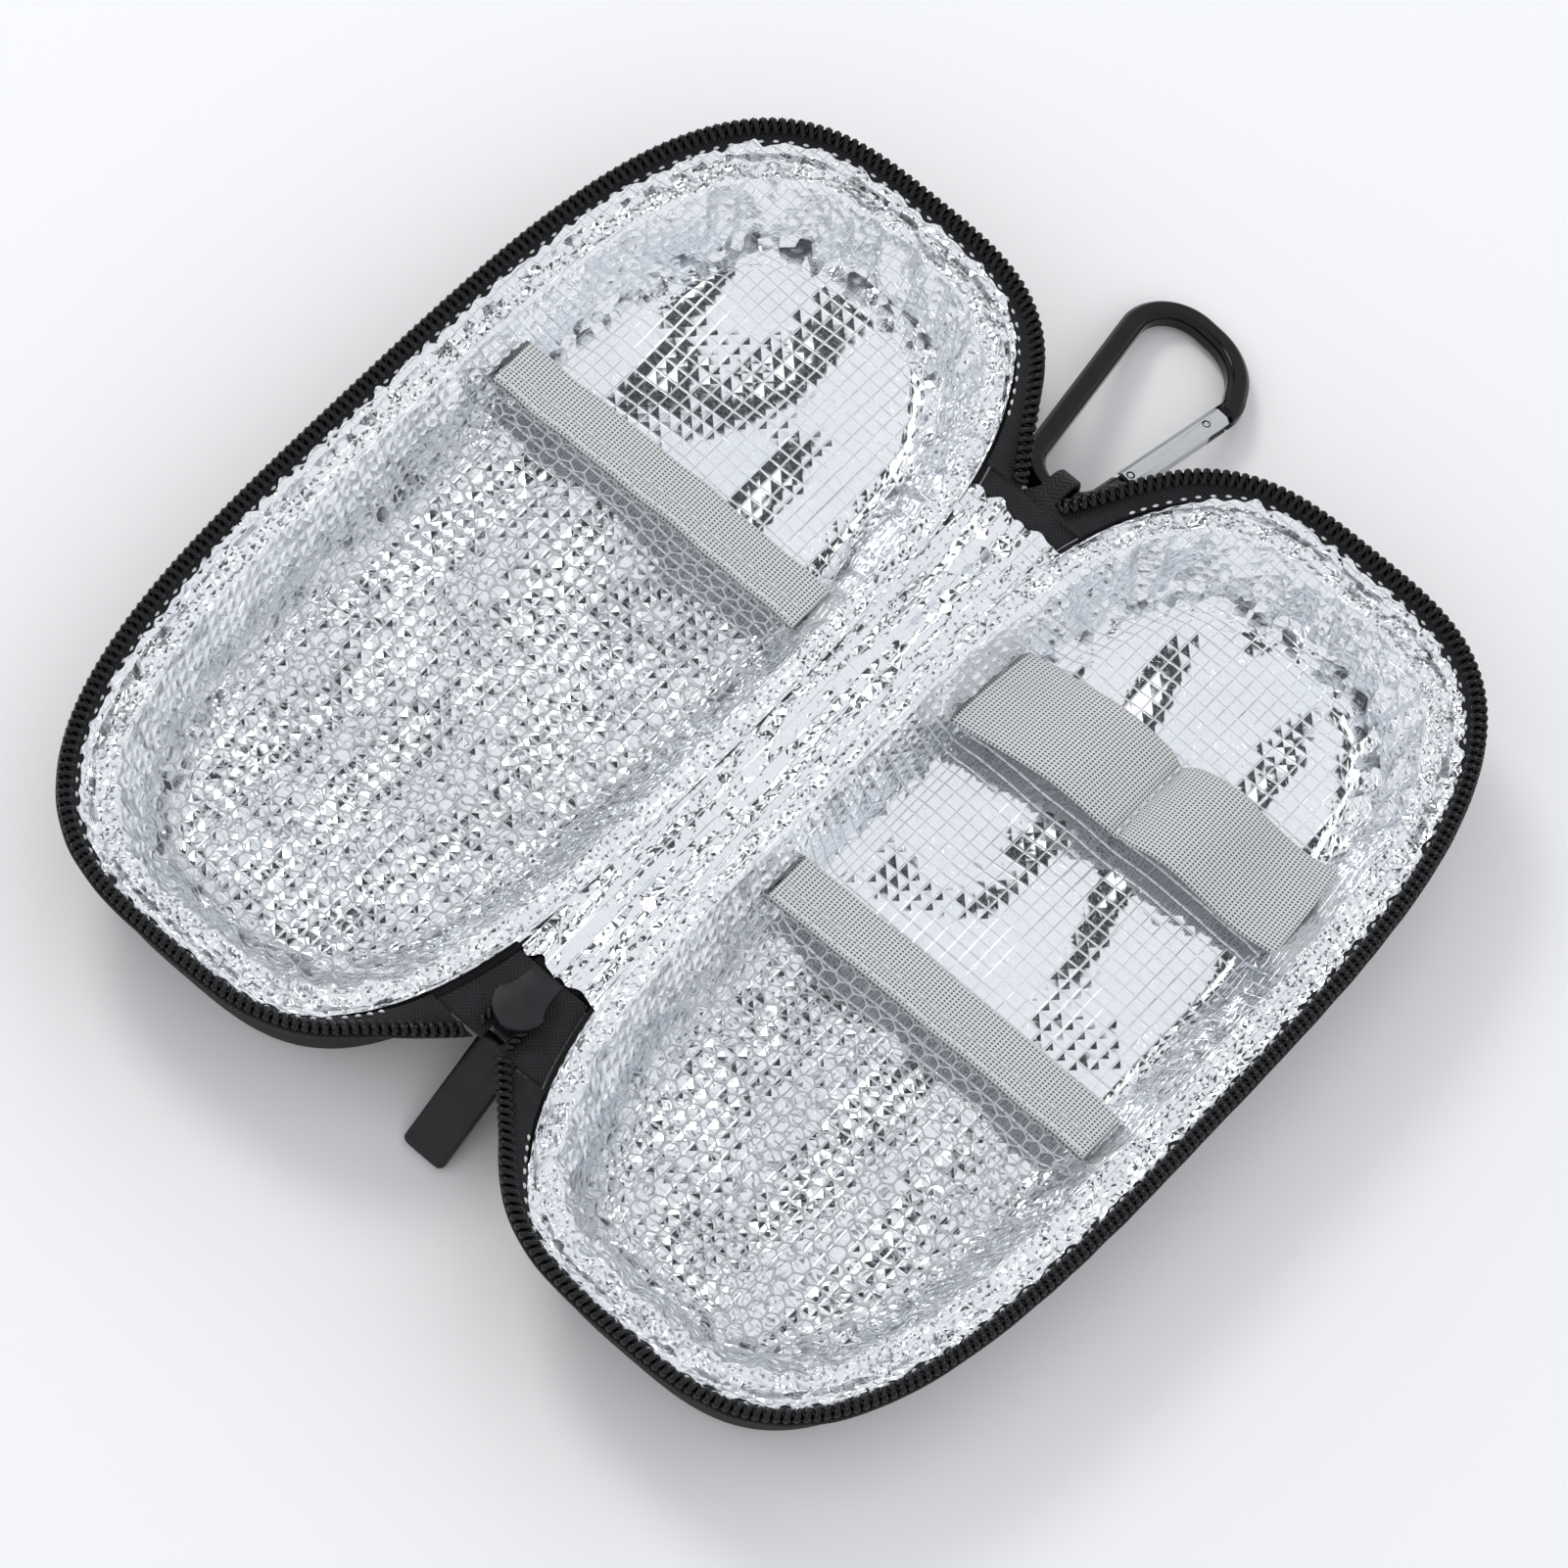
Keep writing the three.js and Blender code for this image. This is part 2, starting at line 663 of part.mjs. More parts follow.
function webbingLoop() {
  const tail = spineHigh - seatGap;
  const tailUnder = tailTop - 2 * webbingThickness;
  const outer = webbingEye + webbingThickness;
  // The arc about the eye between the tangents drawn to it from a lower and an upper point.
  const arc = (radius, under, over) => {
    const touch = ([y, z], side) => {
      const [dy, dz] = [y - eyeY, z - eyeZ];
      return Math.atan2(dz, dy) + side * Math.acos(radius / Math.hypot(dy, dz));
    };
    const [from, to] = [touch(under, 1), touch(over, -1) + 2 * Math.PI];
    return Array.from({ length: eyeSteps + 1 }, (_, i) => {
      const turn = THREE.MathUtils.lerp(from, to, i / eyeSteps);
      return new THREE.Vector2(eyeY + radius * Math.cos(turn), eyeZ + radius * Math.sin(turn));
    });
  };
  const [under, over] = [[tail, tailUnder], [tail, tailTop]];
  const neck = [tail + webbingThickness, tailUnder + webbingThickness / 2];
  const outline = new THREE.Shape([
    new THREE.Vector2(tail - webbingTail, tailTop),
    new THREE.Vector2(tail - webbingTail, tailUnder),
    new THREE.Vector2(...under),
    ...arc(outer, under, over),
    new THREE.Vector2(...over),
  ]);
  outline.holes.push(new THREE.Path([new THREE.Vector2(...neck), ...arc(webbingEye, neck, neck)]));
  const right = [
    new THREE.Vector2(webbingWidth / 2, tail - webbingTail - overrun),
    new THREE.Vector2(webbingWidth / 2, eyeY - outer),
    new THREE.Vector2(webbingEyeWidth / 2, eyeY - hookRod / 2),
    new THREE.Vector2(webbingEyeWidth / 2, eyeY + outer + overrun),
  ];
  const left = right.map((point) => new THREE.Vector2(-point.x, point.y)).reverse();
  const narrowing = plate(new THREE.Shape([...right, ...left]), 0, shellDepth);
  return toGeometry(toSolid(sideBar(outline, webbingWidth)).intersect(toSolid(narrowing)));
}

function barTack() {
  const y = spineHigh - seatGap - webbingTail / 2;
  return box(webbingWidth, tackLength, seamThread, 0, y,
    tailTop - 2 * webbingThickness - seatGap - seamThread / 2);
}

// Snap hook, drawn flat with its near end's centre beside the origin and its length along Y.
// Its middle line is the belt round four circles. The gate spans the belt's right side.
const hookCircles = [
  { centre: new THREE.Vector2(hookNearX, 0), radius: hookNearRadius },
  { centre: new THREE.Vector2(...hookFarRight), radius: hookFarRightRadius },
  { centre: new THREE.Vector2(...hookFarMiddle), radius: hookFarMiddleRadius },
  { centre: new THREE.Vector2(...hookFarLeft), radius: hookFarLeftRadius },
];

// Outward normal of the belt's straight run from one circle to the next.
function beltNormal(from, to) {
  const along = to.centre.clone().sub(from.centre);
  const share = THREE.MathUtils.clamp((from.radius - to.radius) / along.length(), -1, 1);
  along.normalize();
  return new THREE.Vector2(along.y, -along.x)
    .multiplyScalar(Math.sqrt(1 - share * share))
    .addScaledVector(along, share);
}

// The hook slopes down from its eye until its far end lies on the table.
const hookReach = hookNearRadius + hookFarLeft[1] + hookFarLeftRadius;
const hookSlope = Math.asin((eyeZ - hookCorner) / hookReach);

const gateNormal = beltNormal(hookCircles[0], hookCircles[1]);
const gateFoot = hookCircles[0].centre.clone().addScaledVector(gateNormal, hookCircles[0].radius);
const gateHead = hookCircles[1].centre.clone().addScaledVector(gateNormal, hookCircles[1].radius);
const gateFrom = gateFoot.clone().lerp(gateHead, gateFromShare);
const gateTo = gateFoot.clone().lerp(gateHead, gateToShare);
const gateLength = gateFrom.distanceTo(gateTo);
const gateTurn = Math.atan2(gateHead.x - gateFoot.x, gateHead.y - gateFoot.y);

function hookPath() {
  const points = [gateTo.clone()];
  for (let i = 1; i <= hookCircles.length; i += 1) {
    const [before, circle, after] = [i - 1, i, i + 1].map((k) => hookCircles[k % hookCircles.length]);
    const [start, end] = [beltNormal(before, circle), beltNormal(circle, after)].map((n) => n.angle());
    const sweep = (end - start + 2 * Math.PI) % (2 * Math.PI);
    const steps = Math.ceil(sweep / radians(bendStepDegrees));
    for (let step = 0; step <= steps; step += 1) {
      const turn = start + sweep * step / steps;
      points.push(circle.centre.clone()
        .add(new THREE.Vector2(Math.cos(turn), Math.sin(turn)).multiplyScalar(circle.radius)));
    }
  }
  points.push(gateFrom.clone());
  return points.map((point) => new THREE.Vector3(point.x, point.y, 0));
}

// A tool or piece on the gate's own line, which starts at the hinge end and runs along +Y.
function onGate(geometry) {
  return geometry.rotateZ(-gateTurn).translate(gateFrom.x, gateFrom.y, 0);
}

function pinAcross(radius, height, y) {
  return new THREE.CylinderGeometry(radius, radius, height, pinSides).rotateX(Math.PI / 2).translate(0, y, 0);
}

// Places along the gate's line. The heel of the gate clears the rod's end as it swings.
const hingeY = hookRod / 2 + 2 * seatGap;
const heelY = hingeY - gateHeel;
const tipY = hingeY + tongueTip;
const footSlotY = hingeY + Math.hypot(tongueWidth / 2, tongueTip) + seatGap;
const headY = gateLength - 2 * seatGap;
const noseY = gateLength - noseTongue - seatGap - gatePin / 2;

function alongGate(geometry, from, to) {
  return geometry.translate(0, (from + to) / 2, 0);
}

function hookFrame() {
  const tongue = (from, to) => onGate(alongGate(
    new THREE.BoxGeometry(tongueWidth, to - from, tongueThickness), from, to));
  return cut(
    join([
      sweptBar(hookPath(), hookSection()),
      tongue(-overrun, tipY),
      tongue(gateLength - noseTongue, gateLength + overrun),
    ]),
    [onGate(pinAcross(pinHole / 2, hookRod, hingeY))],
  );
}

function hookGate() {
  const slot = (from, to) => alongGate(
    new THREE.BoxGeometry(hookRod + overrun, to - from, gateSlot), from, to);
  const round = (diameter, from, to) => alongGate(
    new THREE.CylinderGeometry(diameter / 2, diameter / 2, to - from, pinSides), from, to);
  const bar = plate(new THREE.Shape(hookSection()), heelY, headY).rotateX(-Math.PI / 2);
  return onGate(cut(bar, [
    slot(heelY - overrun, footSlotY),
    slot(noseY - gatePin / 2 - seatGap, headY + overrun),
    round(springBore, footSlotY - gatePin, footSlotY + springLength + 2 * seatGap),
    pinAcross(pinHole / 2, hookRod + overrun, hingeY),
    pinAcross(pinHole / 2, hookRod + overrun, noseY),
  ]));
}

function hingePin() {
  return onGate(pinAcross(gatePin / 2, hookRod, hingeY));
}

function nosePin() {
  return onGate(pinAcross(gatePin / 2, hookRod, noseY));
}

// Gate spring: a small coil in the gate's bore, one unbroken wire.
function gateSpring() {
  const radius = springBore / 2 - seatGap - springWire / 2;
  const start = footSlotY + springWire + seatGap;
  const pitch = (springLength - 2 * springWire) / springTurnCount;
  const rings = Array.from({ length: springTurnCount * springSteps + 1 }, (_, i) => {
    const turn = i / springSteps * 2 * Math.PI;
    const out = new THREE.Vector3(Math.cos(turn), 0, Math.sin(turn));
    const centre = out.clone().multiplyScalar(radius).setY(start + i / springSteps * pitch);
    return Array.from({ length: springSides }, (_, k) => {
      const around = k * 2 * Math.PI / springSides;
      return centre.clone()
        .addScaledVector(out, springWire / 2 * Math.cos(around))
        .add(new THREE.Vector3(0, springWire / 2 * Math.sin(around), 0));
    });
  });
  return onGate(loft(rings));
}

// Finishes
const finish = (color, roughness, metalness = 0) => new THREE.MeshStandardMaterial({ color, roughness, metalness });
const blackCloth = finish('#1c1c1e', 0.85);
const blackCoil = finish('#17171a', 0.35);
const greyFoam = finish('#c9ccce', 0.9);
const mirrorFoil = finish('#dfe6ee', 0.22, 0.9);
const greyNet = finish('#c3c6c4', 0.7);
const greyElastic = finish('#b4b8b3', 0.85);
const blackEnamel = finish('#1f1f22', 0.4, 0.3);
const blackRubber = finish('#222225', 0.6);
const blackAnodised = finish('#1b1d1f', 0.35, 0.7);
const silverGate = finish('#c4c6c9', 0.3, 0.9);
const whiteThread = finish('#d8dad8', 0.8);

function piece(name, geometry, material) {
  const mesh = new THREE.Mesh(geometry, material);
  mesh.name = name;
  return mesh;
}

// The pieces that both halves have. Crests of one coil face valleys of the other.
function half(name, mouth, crestShift) {
  const group = new THREE.Group();
  group.add(
    piece(`${name}_shell`, shell(), blackCloth),
    piece(`${name}_foam`, foam(), greyFoam),
    piece(`${name}_foil_lining`, foil(), mirrorFoil),
    piece(`${name}_zip_tape`, zipTape(), blackCloth),
    piece(`${name}_zip_coil`, zipCoil(crestShift), blackCoil),
    piece(`${name}_net_pocket`, netPocket(mouth), greyNet),
    piece(`${name}_pocket_edging`, edging(mouth), greyElastic),
  );
  return group;
}

const base = half('base', baseMouth, 0);
base.position.x = halfCentre;
base.add(
  piece('elastic_holder', holder(), greyElastic),
  piece('holder_seam_thread', holderSeam(), whiteThread),
);

const lid = half('lid', lidMouth, 1);
lid.position.x = -halfCentre;
lid.scale.x = -1;

const spine = new THREE.Group();
spine.add(
  piece('spine_cloth', spineCloth(), blackCloth),
  piece('spine_foil', spineFoil(), mirrorFoil),
  piece('gusset_slider_end', gusset(spineLow - seatGap, gussetLow, sliderPostWidth / 2 + seatGap), blackCloth),
  piece('gusset_hook_end', gusset(spineHigh + seatGap, chainHigh - seatGap, 0), blackCloth),
  piece('chain_end_base', chainEnd(), blackCoil),
  piece('chain_end_lid', chainEnd().translate(-chainGatherWidth, 0, 0), blackCoil),
);

const slider = new THREE.Group();
slider.add(
  piece('slider_body', sliderBody(), blackEnamel),
  piece('slider_bail', sliderBail(), blackEnamel),
);

const pull = new THREE.Group();
pull.position.set(0, bailMiddle, pivotZ);
pull.rotation.x = pullSlope;
pull.add(
  piece('pull_link', pullLink(), blackEnamel),
  piece('pull_tab', pullTab(), blackRubber),
);

const hanger = new THREE.Group();
hanger.add(
  piece('webbing_loop', webbingLoop(), blackCloth),
  piece('webbing_bar_tack', barTack(), blackCloth),
);

const hook = new THREE.Group();
hook.position.set(0, eyeY, eyeZ);
hook.rotation.x = -hookSlope;
const hookInEye = new THREE.Group();
hookInEye.position.y = hookNearRadius;
hookInEye.add(
  piece('hook_frame', hookFrame(), blackAnodised),
  piece('hook_gate', hookGate(), silverGate),
  piece('hook_hinge_pin', hingePin(), silverGate),
  piece('hook_nose_pin', nosePin(), silverGate),
  piece('hook_gate_spring', gateSpring(), silverGate),
);
hook.add(hookInEye);

const insulinCase = new THREE.Group();
insulinCase.position.x = -halfCentre;
insulinCase.add(base, lid, spine, slider, pull, hanger, hook);

export default insulinCase;
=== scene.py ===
# %% [markdown]
# # An insulated insulin case, lying open
# The case has two moulded halves joined by a cloth spine. Each half is padded, lined with
# embossed foil and edged with a zip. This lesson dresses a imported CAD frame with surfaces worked
# out in numpy: a shape is a function of two parameters on a grid, computed as whole arrays.

import bmesh
import bpy
import numpy as np
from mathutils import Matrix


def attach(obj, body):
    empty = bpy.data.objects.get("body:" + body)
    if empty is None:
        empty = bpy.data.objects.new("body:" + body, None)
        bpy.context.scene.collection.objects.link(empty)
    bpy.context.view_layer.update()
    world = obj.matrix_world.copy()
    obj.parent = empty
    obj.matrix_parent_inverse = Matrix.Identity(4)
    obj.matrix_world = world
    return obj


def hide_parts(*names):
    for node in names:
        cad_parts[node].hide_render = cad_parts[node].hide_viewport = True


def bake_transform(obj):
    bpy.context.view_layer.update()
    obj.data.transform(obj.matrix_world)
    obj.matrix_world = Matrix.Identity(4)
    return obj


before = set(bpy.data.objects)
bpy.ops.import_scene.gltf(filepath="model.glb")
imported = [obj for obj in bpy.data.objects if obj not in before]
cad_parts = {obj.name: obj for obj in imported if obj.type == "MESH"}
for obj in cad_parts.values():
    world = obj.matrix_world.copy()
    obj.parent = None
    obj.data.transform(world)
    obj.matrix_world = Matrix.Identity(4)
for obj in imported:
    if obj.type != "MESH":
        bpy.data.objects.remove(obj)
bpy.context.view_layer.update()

# %% [markdown]
# ## Camera
# The photograph is taken from above the slider's end, turned 30 degrees and tipped down by 64.
# A camera is a place and three directions, so the directions are worked out first and then put
# into the camera's matrix as columns. A long lens a good metre away keeps the halves' edges
# nearly parallel, as the photograph has them.

# %% Camera at the photograph's angle
AZIMUTH, ELEVATION, ROLL = np.radians([30.0, 64.0, 12.4])
TARGET = np.array([-0.0459, -0.0050, 0.0280])
DISTANCE, LENS, SENSOR = 1.388, 184.4, 36.0


def unit(vectors):
    """Vectors divided by their own lengths."""
    return vectors / np.maximum(np.linalg.norm(vectors, axis=-1, keepdims=True), 1e-9)


def stand(piece, right, up, back, place):
    """Puts a camera or a lamp into the scene: three directions and a place, as a matrix's columns."""
    bpy.context.collection.objects.link(piece)
    matrix = np.eye(4)
    matrix[:3] = np.column_stack([right, up, back, place])
    piece.matrix_world = [list(row) for row in matrix.T]


flat = np.cos(ELEVATION)
back = np.array([np.sin(AZIMUTH) * flat, -np.cos(AZIMUTH) * flat, np.sin(ELEVATION)])
level = np.array([np.cos(AZIMUTH), np.sin(AZIMUTH), 0.0])
above = np.cross(back, level)
right = level * np.cos(ROLL) + above * np.sin(ROLL)
up = above * np.cos(ROLL) - level * np.sin(ROLL)
camera = bpy.data.objects.new("camera", bpy.data.cameras.new("camera"))
stand(camera, right, up, back, TARGET + back * DISTANCE)
camera.data.lens, camera.data.sensor_width = LENS, SENSOR
camera.data.clip_start, camera.data.clip_end = 0.05, 50.0
bpy.context.scene.camera = camera
bpy.context.scene.view_settings.view_transform = "Standard"
print("camera at", np.round(TARGET + back * DISTANCE, 3))

# %% [markdown]
# ## Colours and nodes
# Colours are written as the sRGB hex values that a screen shows. The shaders work in linear
# light, so one function turns each value. One more small function adds a node with its settings
# and links, which keeps every material short enough to read. A last one ends each finish: it
# joins two tones and a height to the shader.


# %% Helpers for materials
def linear(code):
    """sRGB hex to linear light: a channel is divided by 12.92 when dark, else follows a 2.4 power."""
    share = np.array([int(code[i:i + 2], 16) for i in (1, 3, 5)]) / 255
    light = np.where(share <= 0.04045, share / 12.92, ((share + 0.055) / 1.055) ** 2.4)
    return (*light.tolist(), 1.0)


def fill(node, inputs):
    """Fills a node's inputs by name or number. A socket is linked, a node stands for its first
    output in use, and a hex string for its colour."""
    for key, value in inputs.items():
        if isinstance(value, bpy.types.Node):
            value = next(output for output in value.outputs if output.enabled)
        if isinstance(value, bpy.types.NodeSocket):
            node.id_data.links.new(value, node.inputs[key])
        else:
            node.inputs[key].default_value = linear(value) if isinstance(value, str) else value


def add(tree, kind, inputs=None, **settings):
    """Adds a node of a kind, gives it its settings and fills its inputs."""
    made = tree.nodes.new("ShaderNode" + kind)
    for name, value in settings.items():
        setattr(made, name, value)
    fill(made, inputs or {})
    return made


def finish_named(name, **constants):
    """A new material with one Principled shader whose own sockets hold the constant values."""
    material = bpy.data.materials.new(name)
    material.use_nodes = True
    shader = material.node_tree.nodes["Principled BSDF"]
    fill(shader, {key.replace("_", " "): value for key, value in constants.items()})
    return material, material.node_tree, shader


def skin(tree, shader, share, dark, light, height, depth_mm=1.0):
    """The last step of a finish: the colour goes from one tone to the other by a share, and the
    shading is bent by a height given in millimetres."""
    tone = add(tree, "Mix", {0: share, 6: dark, 7: light}, data_type="RGBA")
    bump = add(tree, "Bump", {"Strength": 1.0, "Distance": depth_mm * 0.001, "Height": height})
    fill(shader, {"Base Color": tone, "Normal": bump})


# %% [markdown]
# ## Light and floor
# The case was lit inside a pale tent with one softbox beside the camera's mirror direction. The
# foil is nearly a mirror, so what it looks like is what surrounds it: pale cloth, the white
# softbox, and the dark gap between the two. The world holds those three, by direction, and one
# area lamp stands where the softbox is and gives the soft shadows.

# %% Tent, softbox and floor
SOFTBOX = unit(np.array([-0.62, 0.18, 0.76]))
GAP_INNER, GAP_OUTER, GAP_BLUR = np.radians([14.5, 24.0, 0.8])
GLOW, TENT_STRENGTH = 1.4, 0.99
LAMP_AWAY, LAMP_SIZE, LAMP_POWER = 1.6, 0.5, 4.6

world = bpy.data.worlds.new("studio tent")
bpy.context.scene.world = world
world.use_nodes = True
sky = world.node_tree
direction = add(sky, "TexCoord").outputs["Generated"]
facing = add(sky, "VectorMath", {0: direction, 1: tuple(SOFTBOX)}, operation="DOT_PRODUCT")


def inside(angle):
    """1 for directions nearer to the softbox than an angle, 0 beyond it, with a soft edge."""
    low, high = float(np.cos(angle + GAP_BLUR)), float(np.cos(angle - GAP_BLUR))
    return add(sky, "MapRange", {"Value": facing, "From Min": low, "From Max": high},
               interpolation_type="SMOOTHSTEP")


gap_tone = add(sky, "Mix", {0: inside(GAP_OUTER), 6: "#f4f6f9", 7: "#141518"}, data_type="RGBA")
tent = add(sky, "Mix", {0: inside(GAP_INNER), 6: gap_tone, 7: (GLOW, GLOW, GLOW, 1.0)}, data_type="RGBA")
fill(sky.nodes["Background"], {"Color": tent, "Strength": TENT_STRENGTH})

lamp = bpy.data.objects.new("softbox", bpy.data.lights.new("softbox", "AREA"))
lamp.data.shape, lamp.data.size, lamp.data.energy = "DISK", LAMP_SIZE, LAMP_POWER
side = unit(np.cross([0.0, 0.0, 1.0], SOFTBOX))
stand(lamp, side, np.cross(SOFTBOX, side), SOFTBOX, TARGET + SOFTBOX * LAMP_AWAY)

paper = finish_named("matte_paper_floor", Roughness=0.95, Base_Color="#f9f9f9", Specular_IOR_Level=0.1)[0]
bpy.ops.mesh.primitive_plane_add(size=60.0, location=(0.0, 0.0, -0.00005))
floor = bpy.context.object
floor.name = "floor"
floor.data.materials.append(paper)
print("softbox radiance", round(LAMP_POWER / (np.pi * np.pi * (LAMP_SIZE / 2) ** 2), 2))

# %% [markdown]
# ## Putting numbers into a mesh
# Every new piece ends as an array of points in millimetres and arrays of faces. One function
# fills the mesh with foreach_set, turns the faces outwards, and says which body the piece rides
# on and which CAD node it stands for.


# %% Faces of a grid, and which way they point
def lattice(rows, columns, around=False):
    """The quads of a grid: each joins a point with its neighbour, the next row's neighbour and the
    next row's point. With around, the last column joins the first."""
    r, c = np.meshgrid(np.arange(rows - 1), np.arange(columns if around else columns - 1), indexing="ij")
    here, beside = r * columns + c, r * columns + (c + 1) % columns
    return np.stack([here, beside, beside + columns, here + columns], axis=-1).reshape(-1, 4)


def outward(points, faces):
    """Six times the closed volume: each face's first corner dotted with the cross of two others."""
    total = 0.0
    for group in faces:
        for k in range(1, group.shape[1] - 1):
            across = np.cross(points[group[:, k]], points[group[:, k + 1]])
            total += float((points[group[:, 0]] * across).sum())
    return total


def upward(points, group):
    """How far an open sheet's faces point up: the heights of their corners' cross products, summed."""
    first, second, third = (points[group[:, k]] for k in range(3))
    return np.cross(second - first, third - first)[:, 2].sum()


# %% A mesh object from arrays
def dress(piece, material, body, stands_for=()):
    """Gives a piece its material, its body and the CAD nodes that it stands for."""
    piece.data.materials.clear()
    piece.data.materials.append(material)
    if body:
        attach(piece, body)
    if stands_for:
        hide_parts(*stands_for)


def make(name, points, faces, material, body, stands_for=(), maps=None, values=None,
         open_sheet=False):
    """A mesh object from points in mm and a list of face arrays. An open sheet is turned to face
    up, and a closed piece is turned to face outwards."""
    points = np.asarray(points, float).reshape(-1, 3)
    if (upward(points, faces[0]) if open_sheet else outward(points, faces)) < 0:
        faces = [group[:, ::-1] for group in faces]
    corners = np.concatenate([group.ravel() for group in faces])
    sizes = np.concatenate([np.full(len(group), group.shape[1]) for group in faces])
    mesh = bpy.data.meshes.new(name)
    mesh.vertices.add(len(points))
    mesh.vertices.foreach_set("co", (points * 0.001).astype(np.float32).ravel())
    mesh.loops.add(len(corners))
    mesh.loops.foreach_set("vertex_index", corners.astype(np.int32))
    mesh.polygons.add(len(sizes))
    mesh.polygons.foreach_set("loop_start", (np.cumsum(sizes) - sizes).astype(np.int32))
    mesh.polygons.foreach_set("use_smooth", np.ones(len(sizes), bool))
    mesh.update(calc_edges=True)
    for key, uv in (maps or {}).items():
        layer = mesh.uv_layers.new(name=key)
        layer.data.foreach_set("uv", np.asarray(uv, np.float32).reshape(-1, 2)[corners].ravel())
    for key, value in (values or {}).items():
        layer = mesh.attributes.new(key, "FLOAT", "POINT")
        layer.data.foreach_set("value", np.asarray(value, np.float32).ravel())
    mesh.validate()
    piece = bpy.data.objects.new(name, mesh)
    bpy.context.collection.objects.link(piece)
    dress(piece, material, body, stands_for)
    return piece


# %% Bodies through rings, and lines
def joined(parts):
    """Several sets of points and faces as one: face numbers are moved past the points before them."""
    points, groups, count = [], {}, 0
    for part_points, part_faces in parts:
        for group in part_faces:
            groups.setdefault(group.shape[1], []).append(group + count)
        points.append(part_points)
        count += len(part_points)
    return np.concatenate(points), [np.concatenate(group) for group in groups.values()]


def ringed(rings):
    """A closed body through rings of equal count: quads between the rings and a fan at each end.
    rings is an array of ring, point, xyz."""
    count, around = rings.shape[:2]
    points = np.concatenate([rings.reshape(-1, 3), rings[:1].mean(axis=1), rings[-1:].mean(axis=1)])
    here = np.arange(around)
    beside = (here + 1) % around
    last = (count - 1) * around
    fans = np.concatenate([
        np.stack([beside, here, np.full(around, count * around)], axis=1),
        np.stack([last + here, last + beside, np.full(around, count * around + 1)], axis=1),
    ])
    return points, [lattice(count, around, around=True), fans]


def swept(path, across, over, section):
    """A section carried along a path: each point is the path's point plus the section's first
    number along one side direction and its second along the other."""
    return path[:, None] + section[None, :, :1] * across[:, None] + section[None, :, 1:] * over[:, None]


def tube(path, side, other, radius, count):
    """Circles round a path: its points plus the radius times the cosine of an angle along one side
    direction and the sine along the other."""
    angle = np.arange(count) / count * 2 * np.pi
    circle = np.cos(angle)[:, None] * side[..., None, :] + np.sin(angle)[:, None] * other[..., None, :]
    return path[..., None, :] + np.asarray(radius)[..., None, None] * circle


def run_of(line):
    """The length run at each point of a line: its steps' lengths, summed up."""
    return np.concatenate([[0], np.cumsum(np.linalg.norm(np.diff(line, axis=0), axis=1))])


# %% Unevenness
def waves(x, y, length, seed, count=14, stretch=(1.0, 1.0)):
    """Smooth unevenness: the sum of cosine waves whose lengths lie about the given one, each with
    its own seeded bearing and start, divided so that the sum stays near -1 to 1."""
    draw = np.random.default_rng(seed)
    total = np.zeros_like(x)
    for bearing, start, size in zip(draw.uniform(0, np.pi, count), draw.uniform(0, 2 * np.pi, count),
                                    draw.uniform(0.7, 1.5, count)):
        along = x / stretch[0] * np.cos(bearing) + y / stretch[1] * np.sin(bearing)
        total += np.cos(2 * np.pi / (length * size) * along + start)
    return total / np.sqrt(count)


def ease(value, low, high):
    """0 below one value, 1 above another, and a smooth S between them."""
    share = np.clip((value - low) / (high - low), 0.0, 1.0)
    return share * share * (3 - 2 * share)


# %% [markdown]
# ## The oval both halves share
# Each half's rim is an oval squarer than an ellipse: the widths' shares, raised to a power of
# 3.26 and added, make 1. Every ring of the dish is the same oval, set in from the rim. The wall
# leans in as it goes down and turns into the floor on an arc, so a dish is a profile of inset
# and height that is carried round the oval.

# %% Sizes and the oval
HALF_WIDTH, HALF_LENGTH, DEPTH = 46.0, 97.8, 24.0
WALL_LEAN, FOOT_RADIUS, WALL_THICK = 8.0, 8.0, 2.5
POWER = 2 / 0.6135
SPINE_X, LID_X = -51.2, -102.4
SPINE_LOW, SPINE_HIGH = -58.0, 64.0


def oval(bearing):
    """Points of the unit oval: a direction divided by its own size under the oval's power sum."""
    x, y = np.cos(bearing), np.sin(bearing)
    size = (np.abs(x) ** POWER + np.abs(y) ** POWER) ** (1 / POWER)
    return x / size, y / size


def reach(inset, y):
    """How far the oval lies from its middle along X at a place along Y."""
    share = np.minimum(1.0, np.abs(y) / (HALF_LENGTH - inset))
    return (HALF_WIDTH - inset) * (1 - share ** POWER) ** (1 / POWER)


def even_bearings(count):
    """Bearings that split the rim into equal lengths: the length run is turned back into a bearing."""
    fine = np.linspace(0, 2 * np.pi, 20001)
    run = run_of(np.stack(oval(fine), 1) * [HALF_WIDTH, HALF_LENGTH])
    return np.interp(np.arange(count) / count * run[-1], run, fine), run[-1]


def ring(inset, z, bearings):
    """The oval set in by an inset, at a height."""
    x, y = oval(bearings)
    return np.stack([x * (HALF_WIDTH - inset), y * (HALF_LENGTH - inset), np.full_like(x, z)], axis=-1)


